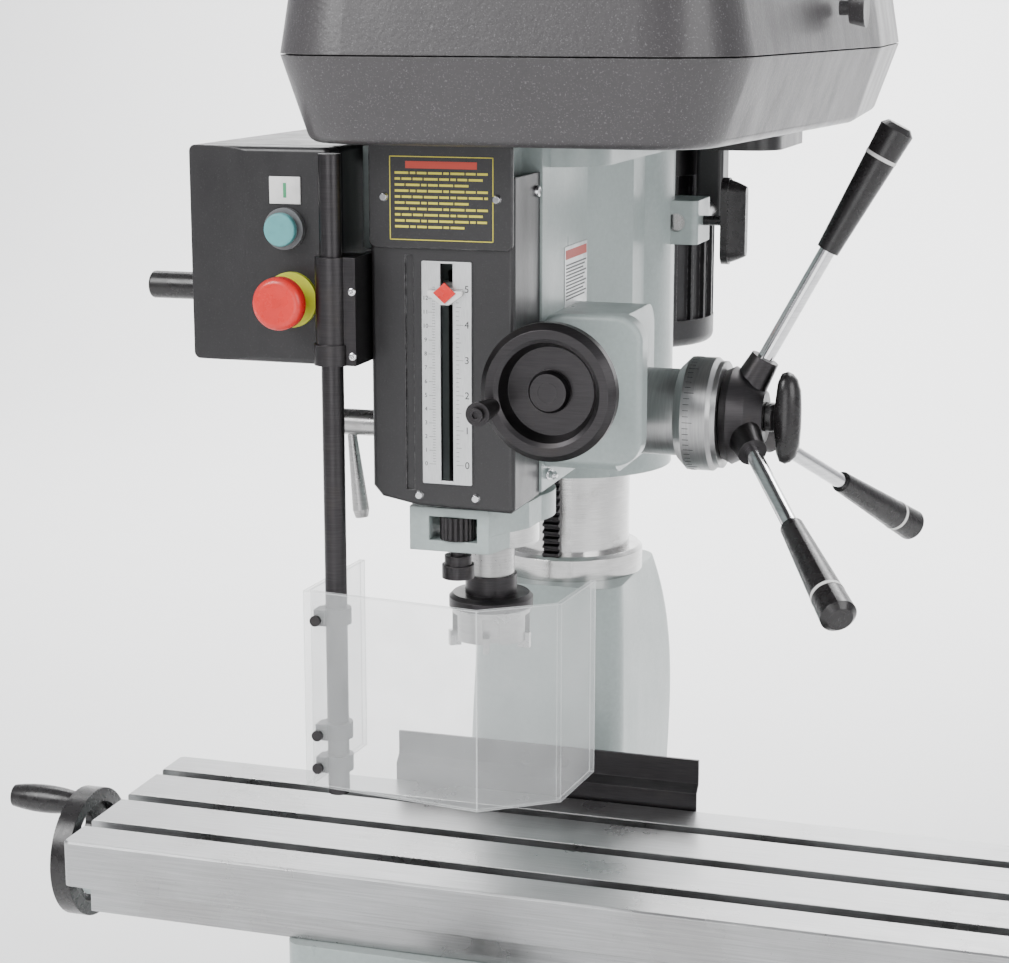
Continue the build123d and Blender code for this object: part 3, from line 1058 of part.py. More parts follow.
# ---- cutter guard --------------------------------------------------------
BARREL_Z0, BARREL_MID, BARREL_Z1 = 615.0, 630.0, 692.0
with BuildPart() as guard_bracket:
    rod(Plane((POST_X, POST_Y, BARREL_MID)), 11.5, BARREL_Z1 - BARREL_MID)
    rod(Plane((POST_X, POST_Y, BARREL_Z0)), 13, BARREL_MID - BARREL_Z0)
    block(POST_X, COVER_X0 - 0.5, POST_Y - 4, POST_Y + 24, BARREL_Z0, BARREL_Z1)
    block(COVER_X0 - 6, COVER_X0 - 0.5, POST_Y - 4, -90, BARREL_Z0, BARREL_Z1)
    block(COVER_X0 - 6, COVER_X0 + 4, -86, -70, BARREL_Z0, BARREL_Z1)
    block(COVER_X0 - 6, COVER_X0 - 0.5, -92, -70, BARREL_Z0, BARREL_Z1)
    rod(Plane((POST_X, POST_Y, BARREL_Z0 - 1)), POST_R + FIT, 90, Mode.SUBTRACT)
save(guard_bracket, "guard_bracket")

with BuildPart() as guard_post:
    rod(Plane((POST_X, POST_Y, GUARD_Z0 - 9)), POST_R, HEAD_TOP - 8 - GUARD_Z0 + 9)
save(guard_post, "guard_post")

GUARD_LINE = [(-91.5, -92), (-97, -190), (38, -207), (88, -170), (93.5, -100)]
with BuildPart() as guard_shield:
    with BuildSketch(Plane.XY.offset(GUARD_Z0)):
        Polygon(*strip_outline(GUARD_LINE, GUARD_T), align=None)
    extrude(amount=GUARD_Z1 - GUARD_Z0)
save(guard_shield, "guard_shield")

CLIP_HEIGHTS = (318.0, 343.0, 430.0)
with BuildPart() as guard_clips:
    for z in CLIP_HEIGHTS:
        rod(Plane((POST_X, POST_Y, z - 6)), 11, 12)
        block(-93, -84, -187.5, POST_Y, z - 6, z + 6)
        rod(Plane((POST_X, POST_Y, z - 7)), POST_R + FIT, 14, Mode.SUBTRACT)

with BuildPart() as guard_screws:
    for z in CLIP_HEIGHTS:
        rod(front_plane(-88.5, -193.8, z), 4, 3)
save_group("guard_clips", guard_clips, guard_screws)
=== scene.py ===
"""Round-column milling and drilling machine: finishes, markings, small fittings and studio."""
import math

import bmesh
import bpy
from mathutils import Matrix, Vector


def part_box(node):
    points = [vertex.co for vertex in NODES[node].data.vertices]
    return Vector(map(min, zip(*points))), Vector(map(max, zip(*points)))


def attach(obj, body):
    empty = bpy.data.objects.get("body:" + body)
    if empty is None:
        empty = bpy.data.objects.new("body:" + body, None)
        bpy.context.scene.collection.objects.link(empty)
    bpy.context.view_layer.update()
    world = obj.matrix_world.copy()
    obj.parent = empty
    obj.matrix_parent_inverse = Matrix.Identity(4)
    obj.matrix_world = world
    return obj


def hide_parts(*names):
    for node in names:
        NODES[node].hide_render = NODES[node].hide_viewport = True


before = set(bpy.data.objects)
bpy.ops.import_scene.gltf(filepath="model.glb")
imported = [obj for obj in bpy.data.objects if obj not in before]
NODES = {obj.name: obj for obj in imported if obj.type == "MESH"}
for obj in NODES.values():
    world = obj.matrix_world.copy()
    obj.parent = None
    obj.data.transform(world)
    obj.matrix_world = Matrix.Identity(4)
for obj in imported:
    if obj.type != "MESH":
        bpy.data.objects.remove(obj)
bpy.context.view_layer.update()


# ---- camera --------------------------------------------------------------
LENS_MM, SENSOR_MM = 80.28, 36.0
CAMERA_PLACE = (0.514, -1.652, 0.867)
CAMERA_AIM = (-0.294, 0.933, -0.208)


def make_camera():
    """Camera in front and to the right of the head, a little above it."""
    data = bpy.data.cameras.new("camera")
    data.lens, data.sensor_width = LENS_MM, SENSOR_MM
    camera = bpy.data.objects.new("camera", data)
    camera.location = CAMERA_PLACE
    camera.rotation_mode = "QUATERNION"
    camera.rotation_quaternion = Vector(CAMERA_AIM).to_track_quat("-Z", "Y")
    bpy.context.scene.collection.objects.link(camera)
    bpy.context.scene.camera = camera


make_camera()


# ---- material kit --------------------------------------------------------
class Surface:
    """One node material, put together by short calls; sizes are in metres."""

    def __init__(self, name, **constants):
        self.material = bpy.data.materials.new(name)
        self.material.use_nodes = True
        self.tree = self.material.node_tree
        self.shader = self.tree.nodes["Principled BSDF"]
        self.place = self.add("ShaderNodeTexCoord").outputs["Object"]
        for socket, value in constants.items():
            self.shader.inputs[socket.replace("_", " ")].default_value = value

    def add(self, kind, **settings):
        node = self.tree.nodes.new(kind)
        for key, value in settings.items():
            setattr(node, key, value)
        return node

    def feed(self, socket, value):
        """Links a socket to another one, or sets its own value."""
        if isinstance(value, bpy.types.NodeSocket):
            self.tree.links.new(value, socket)
        elif isinstance(value, tuple) and len(value) == 3 and socket.type == "RGBA":
            socket.default_value = (*value, 1.0)
        else:
            socket.default_value = value

    def stretched(self, stretch):
        node = self.add("ShaderNodeMapping")
        self.feed(node.inputs["Vector"], self.place)
        self.feed(node.inputs["Scale"], stretch)
        return node.outputs["Vector"]

    def noise(self, size, detail=4.0, roughness=0.55, stretch=(1.0, 1.0, 1.0)):
        """Noise whose blobs are about one size across."""
        node = self.add("ShaderNodeTexNoise")
        self.feed(node.inputs["Vector"], self.stretched(stretch))
        self.feed(node.inputs["Scale"], 1.0 / size)
        self.feed(node.inputs["Detail"], detail)
        self.feed(node.inputs["Roughness"], roughness)
        return node.outputs["Fac"]

    def cells(self, size):
        """Distance to the nearest of points that lie about one size apart."""
        node = self.add("ShaderNodeTexVoronoi")
        self.feed(node.inputs["Vector"], self.place)
        self.feed(node.inputs["Scale"], 1.0 / size)
        return node.outputs["Distance"]

    def span(self, value, low, high, out_low=0.0, out_high=1.0):
        """Maps a range of one value to another, and clamps it."""
        node = self.add("ShaderNodeMapRange")
        for key, number in (("Value", value), ("From Min", low), ("From Max", high)):
            self.feed(node.inputs[key], number)
        self.feed(node.inputs["To Min"], out_low)
        self.feed(node.inputs["To Max"], out_high)
        return node.outputs["Result"]

    def maths(self, operation, a, b=0.0):
        node = self.add("ShaderNodeMath", operation=operation)
        self.feed(node.inputs[0], a)
        self.feed(node.inputs[1], b)
        return node.outputs[0]

    def blend(self, share, a, b):
        node = self.add("ShaderNodeMix", data_type="RGBA")
        self.feed(node.inputs["Factor"], share)
        self.feed(node.inputs[6], a)
        self.feed(node.inputs[7], b)
        return node.outputs[2]

    def edges(self, radius):
        """Rounded normal, and a mask of the sharp edges within a radius."""
        bevel = self.add("ShaderNodeBevel", samples=4)
        self.feed(bevel.inputs["Radius"], radius)
        plain = self.add("ShaderNodeNewGeometry").outputs["Normal"]
        dot = self.add("ShaderNodeVectorMath", operation="DOT_PRODUCT")
        self.feed(dot.inputs[0], bevel.outputs["Normal"])
        self.feed(dot.inputs[1], plain)
        return bevel.outputs["Normal"], self.span(dot.outputs["Value"], 0.995, 0.90)

    def bump(self, height, distance, strength=1.0, normal=None):
        node = self.add("ShaderNodeBump")
        self.feed(node.inputs["Height"], height)
        self.feed(node.inputs["Distance"], distance)
        self.feed(node.inputs["Strength"], strength)
        if normal is not None:
            self.feed(node.inputs["Normal"], normal)
        return node.outputs["Normal"]

    def beyond(self, axis, limit):
        """1 where a coordinate is above a limit, else 0."""
        parts = self.add("ShaderNodeSeparateXYZ")
        self.feed(parts.inputs[0], self.place)
        return self.maths("GREATER_THAN", parts.outputs[axis], limit)

    def finish(self, **links):
        for socket, value in links.items():
            self.feed(self.shader.inputs[socket.replace("_", " ")], value)
        return self.material


def painted(name, colour, edge_colour, rough=0.38, orange_peel=0.00012, peel_size=0.0022,
            speckle=0.0, speckle_colour=(0.2, 0.2, 0.2), wear=0.35, radius=0.0012):
    """Enamel on metal: mottled colour, orange peel, thin bright wear on the edges and light dust."""
    s = Surface(name, Coat_Weight=0.25, Coat_Roughness=0.22)
    normal, edge = s.edges(radius)
    broad = s.noise(0.09, 3.0)
    fine = s.noise(0.004, 5.0, 0.65)
    tone = s.blend(s.span(broad, 0.35, 0.7), colour, tuple(c * 0.86 for c in colour))
    tone = s.blend(s.span(fine, 0.40, 0.75, 0.0, 0.35), tone, tuple(min(1, c * 1.25 + 0.004) for c in colour))
    if speckle:
        grains = s.noise(0.0012, 2.0, 0.5)
        tone = s.blend(s.span(grains, 0.60, 0.70, 0.0, speckle), tone, speckle_colour)
    chips = s.maths("MULTIPLY", edge, s.span(s.noise(0.006, 6.0, 0.7), 0.44, 0.62, 0.0, wear))
    tone = s.blend(chips, tone, edge_colour)
    smears = s.span(s.noise(0.03, 5.0, 0.6, (1.0, 1.0, 0.35)), 0.3, 0.75, rough - 0.07, rough + 0.12)
    peel = s.noise(peel_size, 3.0, 0.5)
    return s.finish(
        Base_Color=tone, Roughness=smears, Metallic=s.maths("MULTIPLY", chips, 0.6),
        Normal=s.bump(peel, orange_peel, 0.8, normal),
    )


def turned(name, colour, rough=0.24, axis=2, line=0.0006, stain=0.25, stain_colour=(0.12, 0.09, 0.07),
           radius=0.0006):
    """Machined steel with fine tool lines across one axis, handling marks and faint stains."""
    s = Surface(name, Metallic=1.0)
    normal, edge = s.edges(radius)
    stretch = [0.05, 0.05, 0.05]
    stretch[axis] = 1.0
    lines = s.noise(line, 2.0, 0.5, tuple(stretch))
    cloud = s.noise(0.035, 5.0, 0.65)
    tone = s.blend(s.span(lines, 0.3, 0.7), tuple(c * 0.82 for c in colour), colour)
    tone = s.blend(s.span(cloud, 0.55, 0.85, 0.0, stain), tone, stain_colour)
    tone = s.blend(s.maths("MULTIPLY", edge, 0.5), tone, tuple(min(1.0, c * 1.25) for c in colour))
    gloss = s.span(cloud, 0.3, 0.75, rough - 0.06, rough + 0.14)
    return s.finish(Base_Color=tone, Roughness=gloss, Normal=s.bump(lines, 0.00003, 0.6, normal))


def two_finishes(name, low, high, *limits):
    """One node that holds two pieces: the second finish shows above every (axis, limit) given."""
    s = Surface(name)
    outputs = []
    for source in (low, high):
        copies = {}
        for node in source.node_tree.nodes:
            if node.type == "OUTPUT_MATERIAL":
                continue
            copy = s.add(node.bl_idname)
            for key in ("operation", "data_type", "samples"):
                if hasattr(node, key):
                    setattr(copy, key, getattr(node, key))
            for mine, theirs in zip(copy.inputs, node.inputs):
                if hasattr(theirs, "default_value"):
                    mine.default_value = theirs.default_value
            copies[node.name] = copy
        for link in source.node_tree.links:
            if link.to_node.type == "OUTPUT_MATERIAL":
                continue
            start = list(link.from_node.outputs).index(link.from_socket)
            end = list(link.to_node.inputs).index(link.to_socket)
            source_copy, target_copy = copies[link.from_node.name], copies[link.to_node.name]
            s.tree.links.new(source_copy.outputs[start], target_copy.inputs[end])
        outputs.append(copies["Principled BSDF"].outputs[0])
    chooser = s.add("ShaderNodeMixShader")
    share = 1.0
    for axis, limit in limits:
        share = s.maths("MULTIPLY", s.beyond(axis, limit), share)
    s.feed(chooser.inputs[0], share)
    s.tree.links.new(outputs[0], chooser.inputs[1])
    s.tree.links.new(outputs[1], chooser.inputs[2])
    s.tree.nodes.remove(s.shader)
    s.tree.links.new(chooser.outputs[0], s.tree.nodes["Material Output"].inputs[0])
    return s.material


def moulded(name, colour, rough=0.32, grain=0.00006, radius=0.0008,
            wear_colour=(0.08, 0.08, 0.08), wear=0.05):
    """Moulded plastic with a fine grain, scuffs and slightly polished edges."""
    s = Surface(name, Specular_IOR_Level=0.5)
    normal, edge = s.edges(radius)
    cloud = s.noise(0.02, 4.0, 0.6)
    scuffs = s.span(s.noise(0.0015, 6.0, 0.7, (1.0, 1.0, 0.2)), 0.60, 0.72, 0.0, wear)
    tone = s.blend(s.span(cloud, 0.35, 0.7), colour, tuple(c * 0.8 for c in colour))
    tone = s.blend(s.maths("MULTIPLY", scuffs, s.span(cloud, 0.45, 0.6)), tone, wear_colour)
    tone = s.blend(s.maths("MULTIPLY", edge, 0.10), tone, tuple(min(1.0, c * 1.5 + 0.01) for c in colour))
    gloss = s.span(s.noise(0.008, 4.0), 0.3, 0.7, rough - 0.05, rough + 0.12)
    return s.finish(Base_Color=tone, Roughness=gloss, Normal=s.bump(s.noise(0.0007, 3.0), grain, 0.7, normal))


def planed_iron(name, colour, axis=0):
    """Scraped and planed cast iron: long tool lines, pores, oil film and bright edges."""
    s = Surface(name, Metallic=1.0)
    normal, edge = s.edges(0.0010)
    stretch = [1.0, 1.0, 1.0]
    stretch[axis] = 0.02
    lines = s.noise(0.0012, 3.0, 0.6, tuple(stretch))
    pores = s.span(s.noise(0.0016, 4.0, 0.7), 0.64, 0.72)
    oil = s.span(s.noise(0.11, 5.0, 0.62), 0.42, 0.68)
    tone = s.blend(s.span(lines, 0.3, 0.7), tuple(c * 0.75 for c in colour), colour)
    tone = s.blend(s.maths("MULTIPLY", oil, 0.30), tone, (0.20, 0.185, 0.17))
    tone = s.blend(s.maths("MULTIPLY", pores, 0.6), tone, (0.04, 0.04, 0.04))
    tone = s.blend(s.maths("MULTIPLY", edge, 0.6), tone, (0.75, 0.75, 0.74))
    gloss = s.span(oil, 0.0, 1.0, 0.38, 0.22)
    height = s.maths("SUBTRACT", lines, s.maths("MULTIPLY", pores, 0.8))
    return s.finish(Base_Color=tone, Roughness=gloss, Normal=s.bump(height, 0.00006, 0.8, normal))


def clear_guard(name):
    """Milky clear plastic sheet with fine scratches, dust and bright cut edges."""
    s = Surface(name, IOR=1.49)
    normal, edge = s.edges(0.0016)
    haze = s.noise(0.05, 4.0, 0.6)
    scratches = s.span(s.noise(0.0008, 6.0, 0.75, (0.15, 0.15, 1.0)), 0.62, 0.70)
    dust = s.span(s.noise(0.0016, 3.0, 0.6), 0.66, 0.74)
    cover = s.span(haze, 0.3, 0.7, 0.15, 0.23)
    cover = s.maths("ADD", cover, s.maths("MULTIPLY", scratches, 0.10))
    cover = s.maths("ADD", cover, s.maths("MULTIPLY", dust, 0.06))
    cover = s.maths("MAXIMUM", cover, s.maths("MULTIPLY", edge, 0.8))
    tone = s.blend(edge, (0.78, 0.80, 0.80), (0.93, 0.95, 0.95))
    return s.finish(
        Base_Color=tone, Alpha=cover, Roughness=s.span(haze, 0.3, 0.7, 0.10, 0.22),
        Normal=s.bump(haze, 0.00004, 0.4, normal),
    )


def rubber(name):
    """Matt belt rubber with a woven back and dusty flanks."""
    s = Surface(name, Roughness=0.75)
    weave = s.cells(0.0012)
    dusty = s.span(s.noise(0.01, 5.0, 0.65), 0.4, 0.7)
    tone = s.blend(s.maths("MULTIPLY", dusty, 0.5), (0.018, 0.018, 0.018), (0.09, 0.085, 0.08))
    return s.finish(Base_Color=tone, Normal=s.bump(weave, 0.0002, 0.7))


def bronze(name):
    """Cast bronze with random patches of dark oil."""
    s = Surface(name, Metallic=1.0)
    normal, edge = s.edges(0.0008)
    cloud = s.noise(0.012, 5.0, 0.6)
    tone = s.blend(s.span(cloud, 0.35, 0.7), (0.46, 0.29, 0.12), (0.25, 0.16, 0.08))
    tone = s.blend(s.maths("MULTIPLY", edge, 0.6), tone, (0.75, 0.52, 0.25))
    return s.finish(Base_Color=tone, Roughness=s.span(cloud, 0.3, 0.7, 0.25, 0.5), Normal=normal)


def printed(name, colour, rough=0.45):
    """Screen-printed ink with small gaps in its cover."""
    s = Surface(name)
    worn = s.span(s.noise(0.0009, 5.0, 0.7), 0.58, 0.72, 0.0, 0.35)
    tone = s.blend(worn, colour, tuple(c * 0.55 for c in colour))
    return s.finish(Base_Color=tone, Roughness=s.span(worn, 0.0, 1.0, rough, rough + 0.2))


BARE = (0.42, 0.42, 0.42)
CASTING = painted("casting_enamel", (0.36, 0.415, 0.405), (0.62, 0.64, 0.63), 0.34, wear=0.3, radius=0.0016)
BLACK_ENAMEL = painted("black_enamel", (0.0105, 0.0095, 0.0105), BARE, 0.40, 0.00010, 0.0011,
                       speckle=0.25, speckle_colour=(0.05, 0.048, 0.05), wear=0.35)
HAMMERTONE = painted("charcoal_hammertone", (0.040, 0.0365, 0.0385), BARE, 0.42, 0.00030, 0.0030,
                     speckle=0.7, speckle_colour=(0.13, 0.125, 0.13), wear=0.25)
BLACKENED = turned("blackened_steel", (0.055, 0.052, 0.054), 0.34, 2, 0.0008, 0.35, (0.10, 0.085, 0.07))
GROUND = turned("ground_steel", (0.66, 0.655, 0.645), 0.17, 2, 0.0007, 0.22)
MACHINED = turned("machined_steel", (0.50, 0.495, 0.49), 0.26, 2, 0.0009, 0.35)
MACHINED_X = turned("machined_steel_x", (0.50, 0.495, 0.49), 0.26, 0, 0.0009, 0.35)
SATIN_X = turned("satin_collar", (0.40, 0.40, 0.40), 0.33, 0, 0.0010, 0.2, (0.2, 0.2, 0.2))
CHROME = turned("bright_chrome", (0.78, 0.78, 0.79), 0.09, 2, 0.0012, 0.12, (0.35, 0.33, 0.32))
SATIN_PLATE = turned("satin_plate", (0.74, 0.75, 0.75), 0.36, 0, 0.0004, 0.10, (0.4, 0.4, 0.38))
ALUMINIUM = turned("cast_aluminium", (0.60, 0.61, 0.62), 0.33, 2, 0.0012, 0.3)
PHENOLIC = moulded("black_phenolic", (0.014, 0.0125, 0.013), 0.24)
TEAL = moulded("teal_cap", (0.11, 0.36, 0.37), 0.38)
RED = moulded("red_cap", (0.72, 0.028, 0.022), 0.26, wear_colour=(0.8, 0.3, 0.25))
YELLOW = moulded("yellow_collar", (0.62, 0.68, 0.045), 0.38)
WHITE = moulded("white_marking", (0.80, 0.79, 0.77), 0.42)
IRON = planed_iron("planed_table_iron", (0.52, 0.525, 0.53), 0)
GUARD = clear_guard("guard_sheet")
RUBBER = rubber("belt_rubber")
BRONZE = bronze("cast_bronze")
YELLOW_INK = printed("yellow_ink", (0.62, 0.55, 0.05))
RED_INK = printed("red_ink", (0.50, 0.05, 0.03))
BLACK_INK = printed("black_ink", (0.02, 0.02, 0.02))
GREEN_INK = printed("green_ink", (0.05, 0.30, 0.14))
GREY_RING = moulded("grey_ring", (0.16, 0.165, 0.17), 0.35)

X, Y, Z = 0, 1, 2
BETWEEN_COLLARS_Z = 0.685
TUBE_START_X, TUBE_FRONT_Y = 0.1055, -0.080
ARBOR_BASE_Z = 0.4140
COLLARS = two_finishes("button_collar_pair", YELLOW, GREY_RING, (Z, BETWEEN_COLLARS_Z))
HOUSING = two_finishes("housing_and_tube", CASTING, SATIN_X, (X, TUBE_START_X), (Y, TUBE_FRONT_Y))
CUTTER = two_finishes("mill_and_arbor", MACHINED, BLACKENED, (Z, ARBOR_BASE_Z))

FINISHES = {
    CASTING: "base saddle saddle_bracket table_brackets head_casting stop_bracket spring_housing",
    HOUSING: "worm_housing",
    CUTTER: "face_mill",
    COLLARS: "button_collars",
    GROUND: "column column_collar quill",
    IRON: "table",
    BLACKENED: "chip_guard lift_rack clamp_bolts lever_hub stop_nut stop_rod worm_shaft guard_bracket "
               "guard_post guard_clips fine_wheel return_spring",
    MACHINED: "quill_bearings spindle drawbar quill_lock",
    MACHINED_X: "feed_shaft slide_rods",
    SATIN_X: "feed_dial",
    CHROME: "lever_rods cover_screws",
    SATIN_PLATE: "scale_plate",
    ALUMINIUM: "spindle_pulley idler_pulley motor_rotor",
    PHENOLIC: "lever_grips clutch_knob tension_knob lift_crank saddle_screw table_screw",
    BLACK_ENAMEL: "front_cover upper_plate control_box control_cover motor_housing motor_plate",
    HAMMERTONE: "belt_pan belt_lid",
    TEAL: "start_button",
    RED: "stop_button",
    WHITE: "depth_pointer",
    GUARD: "guard_shield",
    RUBBER: "drive_belts",
    BRONZE: "screw_nuts worm_gear",
}
for material, names in FINISHES.items():
    for name in names.split():
        NODES[name].data.materials.clear()
        NODES[name].data.materials.append(material)


# ---- mesh kit ------------------------------------------------------------
def piece(name, mesh, material, body, bevel=0.0, smooth_angle=35.0):
    """Links a mesh as a piece that rides on a body."""
    obj = bpy.data.objects.new(name, mesh)
    bpy.context.scene.collection.objects.link(obj)
    mesh.materials.append(material)
    for polygon in mesh.polygons:
        polygon.use_smooth = True
    mesh.set_sharp_from_angle(angle=math.radians(smooth_angle))
    if bevel:
        rounding = obj.modifiers.new("rounding", "BEVEL")
        rounding.width, rounding.segments, rounding.limit_method = bevel, 3, "ANGLE"
    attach(obj, body)
    return obj


def to_mesh(builder, name):
    mesh = bpy.data.meshes.new(name)
    bmesh.ops.recalc_face_normals(builder, faces=builder.faces)
    builder.to_mesh(mesh)
    builder.free()
    return mesh


def boxes(name, corners, material, body, bevel=0.0):
    """Several boxes, each given as low and high corner, in one mesh."""
    builder = bmesh.new()
    for low, high in corners:
        low, high = Vector(low), Vector(high)
        place = Matrix.Translation((low + high) / 2) @ Matrix.Diagonal((*(high - low), 1.0))
        bmesh.ops.create_cube(builder, size=1.0, matrix=place)
    return piece(name, to_mesh(builder, name), material, body, bevel)


def extruded(name, outline, base, right, up, depth, material, body, bevel=0.0):
    """A flat outline in the plane of two directions, pushed out along their cross product."""
    right, up = Vector(right), Vector(up)
    out = right.cross(up)
    builder = bmesh.new()
    ring = [builder.verts.new(Vector(base) + right * a + up * b) for a, b in outline]
    face = builder.faces.new(ring)
    moved = bmesh.ops.extrude_face_region(builder, geom=[face])
    tips = [v for v in moved["geom"] if isinstance(v, bmesh.types.BMVert)]
    bmesh.ops.translate(builder, verts=tips, vec=out * depth)
    return piece(name, to_mesh(builder, name), material, body, bevel)


def lathe(name, profile, origin, axis, material, body, segments=48):
    """Revolves (distance along axis, radius) points about an axis through a point."""
    axis = Vector(axis).normalized()
    side = axis.orthogonal().normalized()
    other = axis.cross(side)
    builder = bmesh.new()
    rings = []
    for along, radius in profile:
        centre = Vector(origin) + axis * along
        ring = []
        for i in range(segments):
            turn = 2 * math.pi * i / segments
            ring.append(builder.verts.new(centre + (side * math.cos(turn) + other * math.sin(turn)) * radius))
        rings.append(ring)
    for low, high in zip(rings, rings[1:]):
        for i in range(segments):
            j = (i + 1) % segments
            builder.faces.new((low[i], low[j], high[j], high[i]))
    builder.faces.new(rings[0][::-1])
    builder.faces.new(rings[-1])
    return piece(name, to_mesh(builder, name), material, body)


def socket_screw(name, origin, axis, radius, material, body):
    """Domed screw head with a round socket."""
    r = radius
    profile = [
        (0.0, r), (0.45 * r, r), (0.68 * r, 0.90 * r), (0.80 * r, 0.66 * r), (0.80 * r, 0.42 * r),
        (0.35 * r, 0.40 * r), (0.33 * r, 0.02 * r),
    ]
    return lathe(name, profile, origin, axis, material, body, 24)


def number(name, text, size, centre, material, body):
    """A number that stands proud of a face turned to -Y."""
    curve = bpy.data.curves.new(name, "FONT")
    curve.body, curve.size, curve.extrude = text, size, 0.00008
    curve.align_x, curve.align_y = "CENTER", "CENTER"
    stand_in = bpy.data.objects.new(name + "_curve", curve)
    bpy.context.scene.collection.objects.link(stand_in)
    bpy.context.view_layer.update()
    mesh = bpy.data.meshes.new_from_object(stand_in.evaluated_get(bpy.context.evaluated_depsgraph_get()))
    bpy.data.objects.remove(stand_in)
    mesh.transform(Matrix.Translation(centre) @ Matrix.Rotation(math.pi / 2, 4, "X"))
    mesh.materials.clear()
    return piece(name, mesh, material, body)


# ---- depth scale ---------------------------------------------------------
def depth_scale():
    """Inch and centimetre scales of the quill's travel, beside the slot."""
    low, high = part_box("scale_plate")
    face, zero, inch, cm = low.y, 0.542, 0.0254, 0.01
    raised, half_line = 0.0001, 0.00012
    inch_x, cm_x = high.x - 0.0115, low.x + 0.0100
    ticks = []
    for step in range(41):
        z = zero + step * inch / 8
        length = 0.0055 if step % 8 == 0 else 0.0038 if step % 4 == 0 else 0.0022
        ticks.append(((inch_x, face - raised, z - half_line), (inch_x + length, face, z + half_line)))
    for step in range(65):
        z = zero + step * cm / 5
        length = 0.0050 if step % 5 == 0 else 0.0022
        ticks.append(((cm_x - length, face - raised, z - half_line), (cm_x, face, z + half_line)))
    boxes("scale_ticks", ticks, BLACK_INK, "head")
    for value in range(6):
        place = (high.x - 0.0034, face, zero + value * inch)
        number(f"inch_{value}", str(value), 0.0072, place, BLACK_INK, "head")
    for value in range(13):
        place = (low.x + 0.0028, face, zero + value * cm)
        number(f"cm_{value}", str(value), 0.0042, place, BLACK_INK, "head")


depth_scale()


def pointer_mark():
    """Red diamond on the depth pointer."""
    low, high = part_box("depth_pointer")
    centre = ((low.x + high.x) / 2, low.y, 0.6665)
    outline = [(-0.0085, 0.0), (0.0, -0.0075), (0.0085, 0.0), (0.0, 0.0075)]
    extruded("pointer_diamond", outline, centre, (1, 0, 0), (0, 0, 1), 0.0009, RED, "quill", 0.0003)


pointer_mark()


# ---- generic plates ------------------------------------------------------
def caution_panel():
    """Yellow frame and plain bars, with no lettering, on the upper plate."""
    low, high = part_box("upper_plate")
    x0, x1, z0, z1 = low.x + 0.016, high.x - 0.014, low.z + 0.006, high.z - 0.010
    face, line = low.y, 0.0006
    proud = face - 0.00012
    bars = [
        ((x0, proud, z0), (x1, face, z0 + line)),
        ((x0, proud, z0), (x0 + line, face, z1)),
        ((x1 - line, proud, z0), (x1, face, z1)),
        ((x0, proud, z1 - line), (x1, face, z1)),
    ]
    rows, bar_height, gap, inset = 10, 0.0016, 0.0012, 0.004
    for row in range(rows):
        z = z1 - 0.0125 - row * (z1 - z0 - 0.017) / rows
        short = 0.020 if row in (2, 5, 9) else 0.004 * (row % 2)
        start = x0 + inset
        while start < x1 - 0.006 - short:
            width = 0.004 + 0.0031 * ((row * 7 + int(start * 3000)) % 3)
            end = min(start + width, x1 - inset)
            bars.append(((start, proud, z), (end, face, z + bar_height)))
            start += width + gap
    boxes("caution_bars", bars, YELLOW_INK, "head")
    heading = ((x0 + 0.012, proud, z1 - 0.0085), (x1 - 0.012, face, z1 - 0.0035))
    boxes("caution_heading", [heading], RED_INK, "head")


caution_panel()


def side_label():
    """Small plate on the right side of the casting: red band over plain dark lines."""
    x, y0, y1, z0, z1 = 0.0500, -0.030, 0.032, 0.640, 0.688
    face, proud = x + 0.0006, x + 0.00072
    boxes("side_label_plate", [((x, y0, z0), (face, y1, z1))], SATIN_PLATE, "head", 0.0002)
    lines = []
    for row in range(11):
        z = z1 - 0.0150 - row * 0.0026
        end = y1 - 0.003 - 0.004 * (row % 3)
        lines.append(((face, y0 + 0.003, z), (proud, end, z + 0.0012)))
    boxes("side_label_lines", lines, BLACK_INK, "head")
    band = ((face, y0 + 0.002, z1 - 0.010), (proud, y1 - 0.002, z1 - 0.003))
    boxes("side_label_band", [band], RED_INK, "head")


side_label()


def start_label():
    """White tile with a green bar above the start button."""
    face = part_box("control_cover")[0].y
    tile = ((-0.133, face - 0.0012, 0.7265), (-0.109, face, 0.7460))
    bar = ((-0.1222, face - 0.00135, 0.7310), (-0.1198, face - 0.0011, 0.7415))
    boxes("start_tile", [tile], WHITE, "head", 0.0004)
    boxes("start_bar", [bar], GREEN_INK, "head")


start_label()


